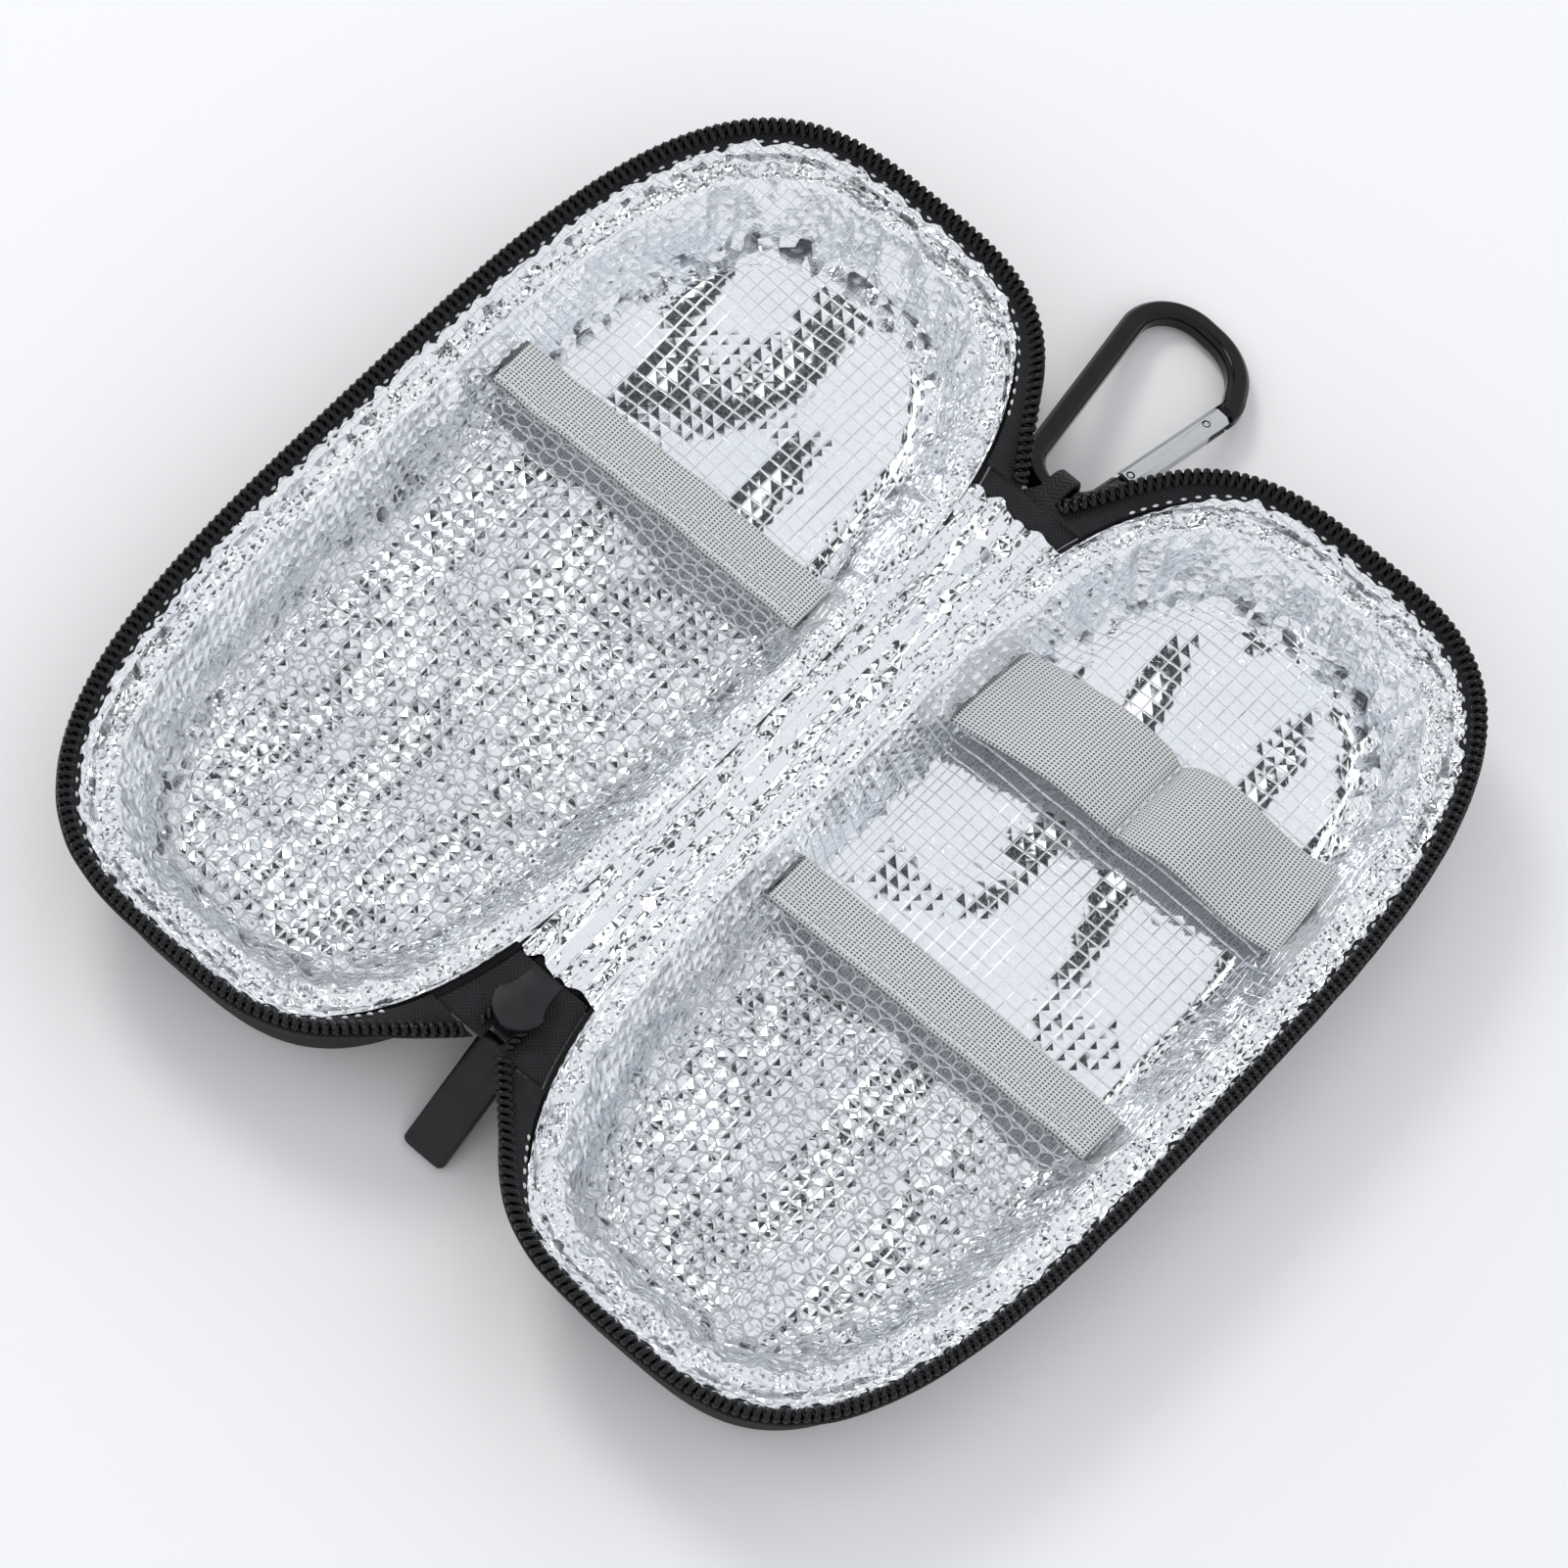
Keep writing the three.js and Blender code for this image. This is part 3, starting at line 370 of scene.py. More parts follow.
def dish_profile(rim, slope, radius, floor_z, offset, top, steps=12):
    """Inset and height from the floor's edge up to the rim: an arc, then a straight leaning wall."""
    slope = np.radians(slope)
    centre_z = floor_z + radius
    tangent_z = centre_z - radius * np.sin(slope)
    centre_in = rim + (DEPTH - tangent_z) * np.tan(slope) + radius * np.cos(slope)
    turn = np.linspace(np.pi / 2, slope, steps)
    arc = [centre_in, centre_z] - (radius - offset) * np.stack([np.cos(turn), np.sin(turn)], axis=1)
    wall_in = rim + offset / np.cos(slope) + (DEPTH - top) * np.tan(slope)
    return np.concatenate([arc, [[wall_in, top]]])


def shell_side(offset, top, steps):
    """The shell's own profile, moved inwards by an offset."""
    return dish_profile(0.0, WALL_LEAN, FOOT_RADIUS, 0.0, offset, top, steps)


def in_half(half, points):
    """A shape drawn on the base, in its half's place: the lid's is mirrored across the spine."""
    return np.asarray(points) * [-1, 1, 1] + [LID_X, 0, 0] if half == "lid" else points


BEARINGS, RIM_LENGTH = even_bearings(300)
print("rim length", round(RIM_LENGTH), "mm")

# %% [markdown]
# ## Black cloth of the shells
# The shells are moulded board covered with a fine plain-woven polyester. A close weave this fine
# shows only as a dull grain that catches a little light on its threads, so the relief is two
# crossed waves, drawn at 0.9 mm, coarser than the real 0.3 mm, to show at all.

# %% Woven polyester
WEAVE_PITCH, WEAVE_DEPTH = 0.9, 0.06


def surface_place(tree):
    """Where a point lies on its piece, in metres."""
    return add(tree, "TexCoord").outputs["Object"]


def place_in_mm(tree):
    """Where a point lies on its piece, in millimetres."""
    return add(tree, "VectorMath", {0: surface_place(tree), 1: (1000.0,) * 3}, operation="MULTIPLY")


def ridge(tree, coordinate, pitch):
    """A row of waves from 0 to 1: a sine of the coordinate, whose length is the pitch."""
    turned = add(tree, "Math", {0: coordinate, 1: 2 * np.pi / pitch}, operation="MULTIPLY")
    wave = add(tree, "Math", {0: turned}, operation="SINE")
    return add(tree, "Math", {0: wave, 1: 0.5, 2: 0.5}, operation="MULTIPLY_ADD")


shell_cloth, tree, shader = finish_named("woven_polyester_black", Roughness=0.85, Sheen_Weight=0.05,
                                         Sheen_Roughness=0.5, Specular_IOR_Level=0.25)
place_at = place_in_mm(tree)
axes = add(tree, "SeparateXYZ", {0: place_at})
slant, rise = (add(tree, "Math", {0: axes.outputs[key], 1: axes.outputs["Z"]}, operation="ADD")
               for key in "XY")
threads = add(tree, "Math", {0: ridge(tree, slant, WEAVE_PITCH), 1: ridge(tree, rise, WEAVE_PITCH)},
              operation="MULTIPLY")
blotch = add(tree, "TexNoise", {"Vector": place_at, "Scale": 0.12, "Detail": 3.0})
mixed = add(tree, "Math", {0: threads, 1: 0.6, 2: blotch}, operation="MULTIPLY_ADD")
colour = add(tree, "MapRange", {"Value": mixed, "From Min": 0.3, "From Max": 1.2})
skin(tree, shader, colour, "#0c0c0e", "#1d1d20", threads, WEAVE_DEPTH)
print("weave drawn every", WEAVE_PITCH, "mm")

# %% [markdown]
# ## Shells
# A shell could be a subdivided box, but its section is known exactly: a wall leaning out by 8
# degrees, a foot of 8 mm radius and a flat underside. Rings of that profile inside and outside,
# closed by a fan at each floor, give a smooth wall with few faces.

# %% Two shells
lip = np.array([[0.15, DEPTH - 0.15], [0.6, DEPTH], [1.9, DEPTH], [2.35, DEPTH - 0.15]])
shell_profile = np.concatenate([shell_side(0.0, DEPTH - 0.6, 14), lip,
                                shell_side(WALL_THICK, DEPTH - 0.6, 8)[::-1]])
shell_points, shell_faces = ringed(np.stack([ring(inset, z, BEARINGS) for inset, z in shell_profile]))
for half in ("base", "lid"):
    make(f"{half}_shell_cloth", in_half(half, shell_points), shell_faces, shell_cloth, half,
         [f"{half}_shell"])
print("shell rings", len(shell_profile), "of", len(BEARINGS), "points")

# %% [markdown]
# ## Embossed foil
# The lining is polyester film with a vapour of aluminium on it, pressed onto a woven scrim. It
# mirrors almost like polished metal. The scrim stands up as a square grid of ribs every 2.7 mm,
# each cell between them is a small cushion that leans its own way, and where the film is
# crumpled it breaks into little flat facets. All of that is relief in the shader, laid along the
# piece's own map in millimetres, so that it follows the wall. Rows of needle holes run along the
# hem.

# %% Cells, facets and holes
RIB_PITCH, RIB_HEIGHT, CUSHION, LEAN = 2.7, 0.085, 0.11, 0.1
HOLE_PITCH, HOLE_ROWS = 2.2, (2.9, 4.7)


def across_cell(tree, coordinate, pitch):
    """Where a point lies in its cell, from -0.5 to 0.5, and the cell's number."""
    cells = add(tree, "Math", {0: coordinate, 1: pitch}, operation="DIVIDE")
    number = add(tree, "Math", {0: cells}, operation="FLOOR")
    part = add(tree, "Math", {0: cells, 1: number}, operation="SUBTRACT")
    return add(tree, "Math", {0: part, 1: 0.5}, operation="SUBTRACT"), number


def facets(tree, vector, scale):
    """Crumpled film: each random cell leans its own way, so the height is the place within the cell
    times that cell's own random slope."""
    cell = add(tree, "TexVoronoi", {"Vector": vector, "Scale": scale, "Randomness": 1.0})
    spot = add(tree, "VectorMath", {0: vector, 1: (scale,) * 3}, operation="MULTIPLY")
    local = add(tree, "VectorMath", {0: spot, 1: cell.outputs["Position"]}, operation="SUBTRACT")
    tip = add(tree, "VectorMath", {0: cell.outputs["Color"], 1: (0.5,) * 3}, operation="SUBTRACT")
    return add(tree, "VectorMath", {0: local, 1: tip}, operation="DOT_PRODUCT")


def square_cells(tree, quilt):
    """The scrim's relief: a rib where the larger of a cell's two shares nears its border, and inside
    it a cushion, highest in the middle, that leans by the cell's own random slope."""
    axes = add(tree, "SeparateXYZ", {0: add(tree, "UVMap", uv_map="lie")})
    (part_x, cell_x), (part_y, cell_y) = (across_cell(tree, axes.outputs[key], RIB_PITCH) for key in "XY")
    out_x, out_y = (add(tree, "Math", {0: part}, operation="ABSOLUTE") for part in (part_x, part_y))
    slope = add(tree, "Math", {0: out_x, 1: out_y}, operation="MAXIMUM")
    rib = add(tree, "MapRange", {"Value": slope, "From Min": 0.42, "From Max": 0.49},
              interpolation_type="SMOOTHSTEP")
    cell = add(tree, "CombineXYZ", {0: cell_x, 1: cell_y})
    own = add(tree, "TexWhiteNoise", {"Vector": cell}, noise_dimensions="2D").outputs["Color"]
    own = add(tree, "VectorMath", {0: own, 1: (0.5,) * 3}, operation="SUBTRACT")
    spot = add(tree, "CombineXYZ", {0: part_x, 1: part_y})
    lean = add(tree, "VectorMath", {0: own, 1: spot}, operation="DOT_PRODUCT")
    dome = add(tree, "Math", {0: lean, 1: LEAN * RIB_PITCH}, operation="MULTIPLY")
    dome = add(tree, "Math", {0: slope, 1: -2 * CUSHION, 2: dome}, operation="MULTIPLY_ADD")
    height = add(tree, "Math", {0: rib, 1: RIB_HEIGHT}, operation="MULTIPLY")
    return add(tree, "Math", {0: dome, 1: quilt, 2: height}, operation="MULTIPLY_ADD")


def punched_holes(tree):
    """1 in the needle holes along the hem and 0 beside them, by the distance from each hole."""
    hem = add(tree, "SeparateXYZ", {0: add(tree, "UVMap", uv_map="hem")})
    along, _ = across_cell(tree, hem.outputs["X"], HOLE_PITCH)
    along = add(tree, "Math", {0: along, 1: HOLE_PITCH}, operation="MULTIPLY")
    rows = []
    for row_at in HOLE_ROWS:
        off = add(tree, "Math", {0: hem.outputs["Y"], 1: row_at}, operation="SUBTRACT")
        far = add(tree, "VectorMath", {0: add(tree, "CombineXYZ", {0: off, 1: along})}, operation="LENGTH")
        rows.append(add(tree, "MapRange", {"Value": far, "From Min": 0.42, "From Max": 0.16},
                        interpolation_type="SMOOTHSTEP"))
    return add(tree, "Math", {0: rows[0], 1: rows[1]}, operation="MAXIMUM")


# %% Aluminised film on scrim
FACET_SCALES, HOLE_DEPTH = ((0.42, 0.3), (0.95, 0.22)), 0.1
film, tree, shader = finish_named("aluminised_film_on_scrim", Metallic=0.94)
quilt, crumple = (add(tree, "Attribute", attribute_name=key).outputs["Fac"] for key in ("quilt", "crumple"))
height = square_cells(tree, quilt)
place_at = place_in_mm(tree)
for scale, size in FACET_SCALES:
    broken = add(tree, "Math", {0: facets(tree, place_at, scale), 1: crumple}, operation="MULTIPLY")
    height = add(tree, "Math", {0: broken, 1: size, 2: height}, operation="MULTIPLY_ADD")
holes = punched_holes(tree)
height = add(tree, "Math", {0: holes, 1: -HOLE_DEPTH, 2: height}, operation="MULTIPLY_ADD")
tint = add(tree, "TexNoise", {"Vector": place_at, "Scale": 0.05, "Detail": 2.0})
tone = add(tree, "Mix", {0: tint, 6: "#e9edf3", 7: "#f6f7f9"}, data_type="RGBA")
skin(tree, shader, holes, tone, "#b4b8be", height)
fill(shader, {"Roughness": add(tree, "MapRange", {"Value": crumple, "To Min": 0.07, "To Max": 0.13})})
print("foil relief from", len(tree.nodes), "nodes")

# %% [markdown]
# ## Foil linings
# One lining is a square grid pressed into the oval: each ring of the square becomes a ring of
# the oval, so its cells stay even and there is no pole in the middle. The rings walk up the
# profile of the dish: flat floor, arc, wall, and the hem turned out over the rim. The film is
# then moved along its own normals, by long folds along Y on the floor and by sharp creases on
# the wall, where a flat sheet had to be pushed into a bowl.

# %% Lining surface
FLOOR_SHARE, FLAP_FROM, FLAP_TO = 0.66, -0.8, -0.45
LINING = dict(rim=5.0, slope=30.0, radius=7.0, floor_z=10.8)


def pressed_grid(rows, columns):
    """A square grid in the unit oval: how far out each point's ring is, and the ring's direction."""
    s, t = np.meshgrid(np.linspace(-1, 1, columns), np.linspace(-1, 1, rows))
    out = np.maximum(np.abs(s), np.abs(t))
    size = np.maximum((np.abs(s) ** POWER + np.abs(t) ** POWER) ** (1 / POWER), 1e-9)
    return out, s / size, t / size


def in_dish(out, ux, uy, inset, z):
    """The pressed grid carried into the dish: the floor's rings shrink evenly to the middle."""
    on_floor = np.minimum(out / FLOOR_SHARE, 1.0)
    return np.stack([(HALF_WIDTH - inset) * ux * on_floor, (HALF_LENGTH - inset) * uy * on_floor, z], -1)


def lining_profile(offset):
    """The dish from the floor's edge to the hem's outer edge: the run, and inset and height for a
    hem that lies over the zip's tape and for one that lies on the shell's lip."""
    wall = dish_profile(**LINING, offset=offset, top=DEPTH + 0.1, steps=14)
    inset, hem_z = wall[-1, 0], DEPTH + offset
    turn = [[inset - 0.35, hem_z - 0.1], [inset - 0.9, hem_z], [1.9, hem_z]]
    over_tape = np.concatenate([wall, turn, [[0.75, hem_z + 0.3], [-0.45, hem_z + 0.9]]])
    over_lip = np.concatenate([wall, turn, [[1.5, hem_z], [1.2, hem_z - 0.1]]])
    return run_of(over_tape), over_tape, over_lip


def lining(rows, columns, offset, seed, strength=1.0, flap=1.0, mouth=0.0):
    """The lining: the dish's surface moved along its normals by folds on the floor, creases on the
    wall and a puff between hem and floor, which are all sums of waves. Returns the points, the map
    along the cloth, the map along the hem, and how crumpled and how domed each point is."""
    out, ux, uy = pressed_grid(rows, columns)
    run, over_tape, over_lip = lining_profile(offset)
    up_wall = np.clip((out - FLOOR_SHARE) / (1 - FLOOR_SHARE), 0, 1) * run[-1]
    ragged = 1 + 0.22 * waves(ux * HALF_WIDTH, uy * HALF_LENGTH, 3.4, seed + 6)
    on_tape = flap * ease(ux, FLAP_FROM, FLAP_TO) * ragged
    inset, z = (np.interp(up_wall, run, over_lip[:, k]) * (1 - on_tape)
                + np.interp(up_wall, run, over_tape[:, k]) * on_tape for k in (0, 1))
    points = in_dish(out, ux, uy, inset, z)
    x, y = points[..., 0], points[..., 1]
    normal = unit(np.cross(np.gradient(points, axis=1), np.gradient(points, axis=0)))
    lie = points[..., :2] + unit(np.stack([ux, uy], -1)) * up_wall[..., None] * 0.9

    wall = ease(up_wall, 0.5, 6.0) * (1 - ease(up_wall, run[-1] - 3.2, run[-1] - 2.0))
    edge = ease(up_wall, run[-1] - 3.0, run[-1] - 1.5)
    floor_part = 1 - ease(up_wall, 0.0, 7.0)
    folds = 0.42 * waves(x, y, 16.0, seed, stretch=(1.0, 2.2))
    folds = folds + 0.5 * waves(x, y, 34.0, seed + 1, stretch=(1.0, 1.3))
    folds = folds * (1 + 0.4 * ease(mouth - y, -6.0, 16.0))
    creases = 1 - 2 * np.abs(waves(x, y, 10.0, seed + 2))
    fine = 1 - 2 * np.abs(waves(x, y, 3.2, seed + 3, count=20))
    gathered = 0.35 + 0.65 * ease(np.abs(y), 45.0, 78.0)
    puff = np.sin(np.pi * np.clip(up_wall / (run[-1] - 3.5), 0, 1)) ** 2
    puff = puff * (0.75 + 0.35 * waves(x, y, 18.0, seed + 7))
    lift = floor_part * folds + wall * gathered * (0.45 * creases + 0.12 * fine) + puff
    lift = lift + edge * 0.07 * waves(x, y, 3.0, seed + 4)

    bearing = np.arctan2(uy * HALF_LENGTH, ux * HALF_WIDTH) % (2 * np.pi)
    hem = np.stack([np.interp(bearing, RIM_ANGLE, RIM_RUN), inset], -1)
    crumple = ease(up_wall, 1.0, 8.0) * (0.15 + 0.65 * gathered) * (1 - 0.4 * edge) + 0.04
    quilt = 0.3 + 1.6 * ease(mouth - y, 0.0, 16.0) + 0.8 * ease(up_wall, 0.0, 6.0)
    quilt = quilt + 0.6 * np.clip(waves(x, y, 26.0, seed + 5), 0, 1)
    return points + normal * (strength * lift)[..., None], lie, hem, {"crumple": crumple, "quilt": quilt}


rim_line = np.stack(oval(np.linspace(0, 2 * np.pi, 4001)), 1) * [HALF_WIDTH, HALF_LENGTH]
RIM_ANGLE, RIM_RUN = np.unwrap(np.arctan2(rim_line[:, 1], rim_line[:, 0])), run_of(rim_line)
print("hem runs round", round(RIM_RUN[-1]), "mm")

# %% [markdown]
# ## Padding under the foil
# The foam between shell and foil is a closed pad: its top follows the foil's floor and wall, and
# its underside the shell's inside. It is hidden when the case is whole, and seen if the foil is
# taken away, so it gets the fine closed cells of polyethylene foam.

# %% Polyethylene foam and two pads
pe_foam, tree, shader = finish_named("closed_cell_polyethylene_foam", Roughness=0.7)
cells = add(tree, "TexVoronoi", {"Vector": place_in_mm(tree), "Scale": 1.2}).outputs["Distance"]
skin(tree, shader, cells, "#dadcdd", "#c2c5c7", cells, 0.15)
PAD_GRID, PAD_RIM = (121, 61), 0.985


def pad(seed):
    """A closed pad: the lining's surface a millimetre lower, and the shell's inside, joined at the rim."""
    top = lining(*PAD_GRID, -0.25, seed, 0.6, 0.0)[0]
    out, ux, uy = pressed_grid(*PAD_GRID)
    line = shell_side(WALL_THICK + 0.3, DEPTH, 12)
    run = run_of(line)
    up_wall = np.clip((out - FLOOR_SHARE) / (1 - FLOOR_SHARE), 0, 1) * run[-1]
    under = in_dish(out, ux, uy, np.interp(up_wall, run, line[:, 0]), np.interp(up_wall, run, line[:, 1]))
    top[..., 2] = np.minimum(top[..., 2], DEPTH)
    at_rim = out > PAD_RIM
    top[at_rim] = under[at_rim]
    under = under - [0, 0, 0.4] * at_rim[..., None]
    grid = lattice(*PAD_GRID)
    order = np.arange(at_rim.size).reshape(PAD_GRID)
    loop = np.concatenate([order[0, :-1], order[:-1, -1], order[-1, :0:-1], order[:0:-1, 0]])
    after = np.roll(loop, -1)
    band_faces = np.stack([loop, after, after + at_rim.size, loop + at_rim.size], axis=1)
    points = np.concatenate([top.reshape(-1, 3), under.reshape(-1, 3)])
    return points, [np.concatenate([grid, grid[:, ::-1] + at_rim.size, band_faces[:, ::-1]])]


LINING_SEED = {"base": 11, "lid": 47}
pads, films = {}, {}
for half, seed in LINING_SEED.items():
    points, faces = pad(seed)
    pads[half] = make(f"{half}_padding", in_half(half, points), faces, pe_foam, half, [f"{half}_foam"])
    print(half, "pad", len(points), "points")

# %% Two foil linings
LINING_GRID = (351, 181)
NET_MOUTH = {"base": -19.6, "lid": 22.4}
for half, seed in LINING_SEED.items():
    points, lie, hem, wear = lining(*LINING_GRID, 0.9, seed, mouth=NET_MOUTH[half])
    points = in_half(half, points.reshape(-1, 3))
    films[half] = make(f"{half}_foil_film", points, [lattice(*LINING_GRID)], film, half,
                       [f"{half}_foil_lining"], {"lie": lie, "hem": hem}, wear,
                       open_sheet=True)
print("lining triangles", 2 * (LINING_GRID[0] - 1) * (LINING_GRID[1] - 1))

# %% [markdown]
# ## The zip's line
# The zip is the one line that everything at the rim follows. Its tape is sewn to the rim and
# flares outwards, and its coil sits at the tape's upper edge. Near the spine the chain leaves the
# oval along a straight line and runs in towards the middle. The line is worked out once, as
# arrays of coil place, tape root and three directions, and the tape, teeth and stitches all
# take their places from it.

# %% Stations along the chain
TAPE_INSET, TAPE_FLARE, TAPE_THICK, COIL_SEAT = 0.5, np.radians(64.0), 0.8, 1.6
CHAIN_LOW, CHAIN_HIGH, GATHER_X, GATHER_RISE = -75.3, 68.8, 3.4 + SPINE_X, 1.2
TOOTH_PITCH, TOOTH_WIDTH, TOOTH_HEIGHT = 2.1, 3.2, 1.8
SPINE_WIDTH, MESH_GAP, STRAIGHT_STEPS = 10.4, 0.5, 60


def tooth_reach(share):
    """How far a flared tooth stands out from the coil's line, level with the table."""
    along, over = TOOTH_WIDTH / 2 * np.cos(TAPE_FLARE), TOOTH_HEIGHT / 2 * np.sin(TAPE_FLARE)
    return share * max(along - over, 0.55 * along + over)


COIL_RISE = (SPINE_WIDTH - MESH_GAP - tooth_reach(1.0) - tooth_reach(0.62)) / 2
ROOT_RISE = 0.3 + TAPE_THICK / 2
TAPE_RUN = (COIL_RISE - ROOT_RISE - COIL_SEAT * np.sin(TAPE_FLARE)) / np.cos(TAPE_FLARE)
OVERHANG = TAPE_RUN * np.sin(TAPE_FLARE) - COIL_SEAT * np.cos(TAPE_FLARE) - TAPE_INSET


# %% The line itself
def chain_line():
    """Coil and root places along the whole chain, and the length run at each: the oval between two
    points, and straight runs from there to the gathered ends."""
    around = np.stack(oval(np.linspace(-np.pi, np.pi, 1441)), 1)
    coil = around * [HALF_WIDTH + OVERHANG, HALF_LENGTH + OVERHANG]
    root = around * [HALF_WIDTH - TAPE_INSET, HALF_LENGTH - TAPE_INSET]

    def meeting(end_y, way):
        """The oval's point that is seen at the steepest angle from the gathered end."""
        dx, dy = coil[:, 0] - GATHER_X, way * (coil[:, 1] - end_y)
        return int(np.argmin(np.where(dy > 0, np.arctan2(dx, np.where(dy > 0, dy, 1)), np.inf)))

    def straight(end_y, k):
        """Coil, root and rise on the way from the gathered end to the oval's point."""
        share = np.arange(STRAIGHT_STEPS)[:, None] / STRAIGHT_STEPS
        root_y = end_y + (root[k, 1] - end_y) * share[:, 0]
        end = np.array([GATHER_X, end_y])
        return (end + (coil[k] - end) * share, np.stack([-reach(TAPE_INSET, root_y), root_y], 1),
                GATHER_RISE + (COIL_RISE - GATHER_RISE) * ease(share[:, 0], 0, 1))

    low, high = meeting(CHAIN_LOW, -1), meeting(CHAIN_HIGH, 1)
    between = slice(low, high + 1)
    middle = (coil[between], root[between], np.full(high + 1 - low, COIL_RISE))
    coils, roots, rises = (np.concatenate([first, whole, last[::-1]]) for first, whole, last in
                           zip(straight(CHAIN_LOW, low), middle, straight(CHAIN_HIGH, high)))
    return (run_of(coils), np.column_stack([coils, DEPTH + rises]),
            np.column_stack([roots, np.full(len(roots), DEPTH + ROOT_RISE)]))


RUN, COILS, ROOTS = chain_line()


def chain_at(distance):
    """At distances along the chain: coil centre, tape root, tape edge, and the directions along the
    chain, up the tape and square to it, inwards."""
    pick = lambda table, at: np.stack([np.interp(at, RUN, table[:, k]) for k in range(3)], -1)
    coil, root = pick(COILS, distance), pick(ROOTS, distance)
    step = TOOTH_PITCH / 2
    ahead, behind = np.minimum(RUN[-1], distance + step), np.maximum(0, distance - step)
    along = unit(pick(COILS, ahead) - pick(COILS, behind))
    square = lambda v: unit(v - along * (v * along).sum(-1, keepdims=True))
    inward = unit(np.cross(square(coil - root), along))
    up_tape = square(coil - inward * COIL_SEAT - root)
    inward = unit(np.cross(up_tape, along))
    return coil, root, coil - inward * COIL_SEAT, along, up_tape, inward


print("chain length", round(RUN[-1], 1), "mm, teeth", int(RUN[-1] / TOOTH_PITCH))

# %% [markdown]
# ## Zip tape
# The tape is a narrow woven band in herringbone: ribs that slant one way and then the other
# across its width. The ribs are a wave along the band whose start is shifted by a zigzag of the
# distance across it. Under its root lies a welt, a thin cord of the same cloth that closes the
# slit between tape and shell.


# %% Herringbone tape
def herringbone(name, tone, light, pitch, leg, depth):
    """Slanted ribs that turn at each leg: a sine of the place along plus the zigzag of the place across."""
    material, tree, shader = finish_named(name, Roughness=0.72, Sheen_Weight=0.08, Sheen_Roughness=0.45,
                                          Specular_IOR_Level=0.3)
    lie = add(tree, "UVMap", uv_map="lie")
    axes = add(tree, "SeparateXYZ", {0: lie})
    zigzag = add(tree, "Math", {0: axes.outputs["Y"], 1: leg}, operation="PINGPONG")
    ribs = ridge(tree, add(tree, "Math", {0: axes.outputs["X"], 1: zigzag}, operation="ADD"), pitch)
    dust = add(tree, "TexNoise", {"Vector": lie, "Scale": 0.35, "Detail": 4.0})
    both = add(tree, "Math", {0: ribs, 1: 0.7, 2: dust}, operation="MULTIPLY_ADD")
    share = add(tree, "MapRange", {"Value": both, "From Min": 0.35, "From Max": 1.3})
    skin(tree, shader, share, tone, light, ribs, depth)
    return material


zip_cloth = herringbone("herringbone_zip_tape_black", "#09090b", "#26262a", 0.9, 1.6, 0.1)


def band(centre, across, over, width, thick, edge=0.45, bulge=6):
    """A woven band: at each station a flattened section, rounded at both edges, from arrays of the
    band's centre and its two side directions. Returns rings and the place across at each point."""
    right_side, left_side = (np.linspace(start, start + np.pi, bulge) for start in (-np.pi / 2, np.pi / 2))
    turn = np.concatenate([right_side, left_side])
    sign = np.where(np.arange(2 * bulge) < bulge, 1.0, -1.0)
    x = sign * (np.asarray(width)[..., None] / 2 - thick * edge) + np.cos(turn) * thick * edge
    z = (np.sin(turn) * thick / 2 * np.ones_like(x))[..., None]
    rings = centre[:, None] + x[..., None] * across[:, None] + z * over[:, None]
    return rings, x * np.ones((len(centre), 1))


def section_map(rings, sides, run):
    """A map in mm for a band: run along it and place across it, with the two end middles added."""
    uv = np.stack([np.repeat(run[:, None], rings.shape[1], 1), sides], -1).reshape(-1, 2)
    return np.concatenate([uv, uv[:1], uv[-1:]])


# %% Two tapes, each with its welt
TAPE_STATIONS, TAPE_PAST_COIL = 900, 0.9
WELT_OUT, WELT_TALL, WELT_THICK, WELT_SINK = 0.2, 0.6, 0.5, 0.15
stations = np.linspace(0, RUN[-1], TAPE_STATIONS)
_, root_at, edge_at, _, up_at, in_at = chain_at(stations)
tape_edge = edge_at + up_at * TAPE_PAST_COIL
ripple = 0.12 * waves(stations, np.zeros_like(stations), 9.0, 5)[:, None] * in_at
tape_width = np.linalg.norm(tape_edge - root_at, axis=1)
tape_rings, tape_sides = band((root_at + tape_edge) / 2 + ripple * 0.5, unit(tape_edge - root_at), in_at,
                              tape_width, TAPE_THICK, edge=0.3, bulge=5)
flat_out = unit(up_at * [1, 1, 0])
upright = np.broadcast_to([0.0, 0.0, 1.0], flat_out.shape)
welt_middle = root_at + flat_out * WELT_OUT - upright * (TAPE_THICK / 2 + WELT_SINK)
welt_rings, welt_sides = band(welt_middle, upright, flat_out, np.full(TAPE_STATIONS, WELT_TALL),
                              WELT_THICK, bulge=3)
tape_points, tape_faces = joined([ringed(tape_rings), ringed(welt_rings)])
tape_uv = np.concatenate([section_map(tape_rings, tape_sides + (tape_width / 2)[:, None], stations),
                          section_map(welt_rings, welt_sides, stations)])
for half in ("base", "lid"):
    make(f"{half}_tape", in_half(half, tape_points), tape_faces, zip_cloth, half, [f"{half}_zip_tape"],
         {"lie": tape_uv})
print("tape width in mm", np.round([tape_width.min(), tape_width.max()], 1))

# %% [markdown]
# ## Coil
# The teeth are one strand of nylon wound into flat loops, pressed so that each loop's outer end
# swells into a head. That is a helix with a flattened turn: across the tape by a cosine, square
# to it by a sine. The strand's thickness grows at the heads. Six sides and thirteen steps a turn
# keep its faces few, and smooth shading and a gloss do the rest.

# %% Glossy nylon and two coils
COIL_PITCH, STRAND, HEAD, TURN_STEPS, STRAND_SIDES = 1.68, 0.54, 0.1, 13, 6


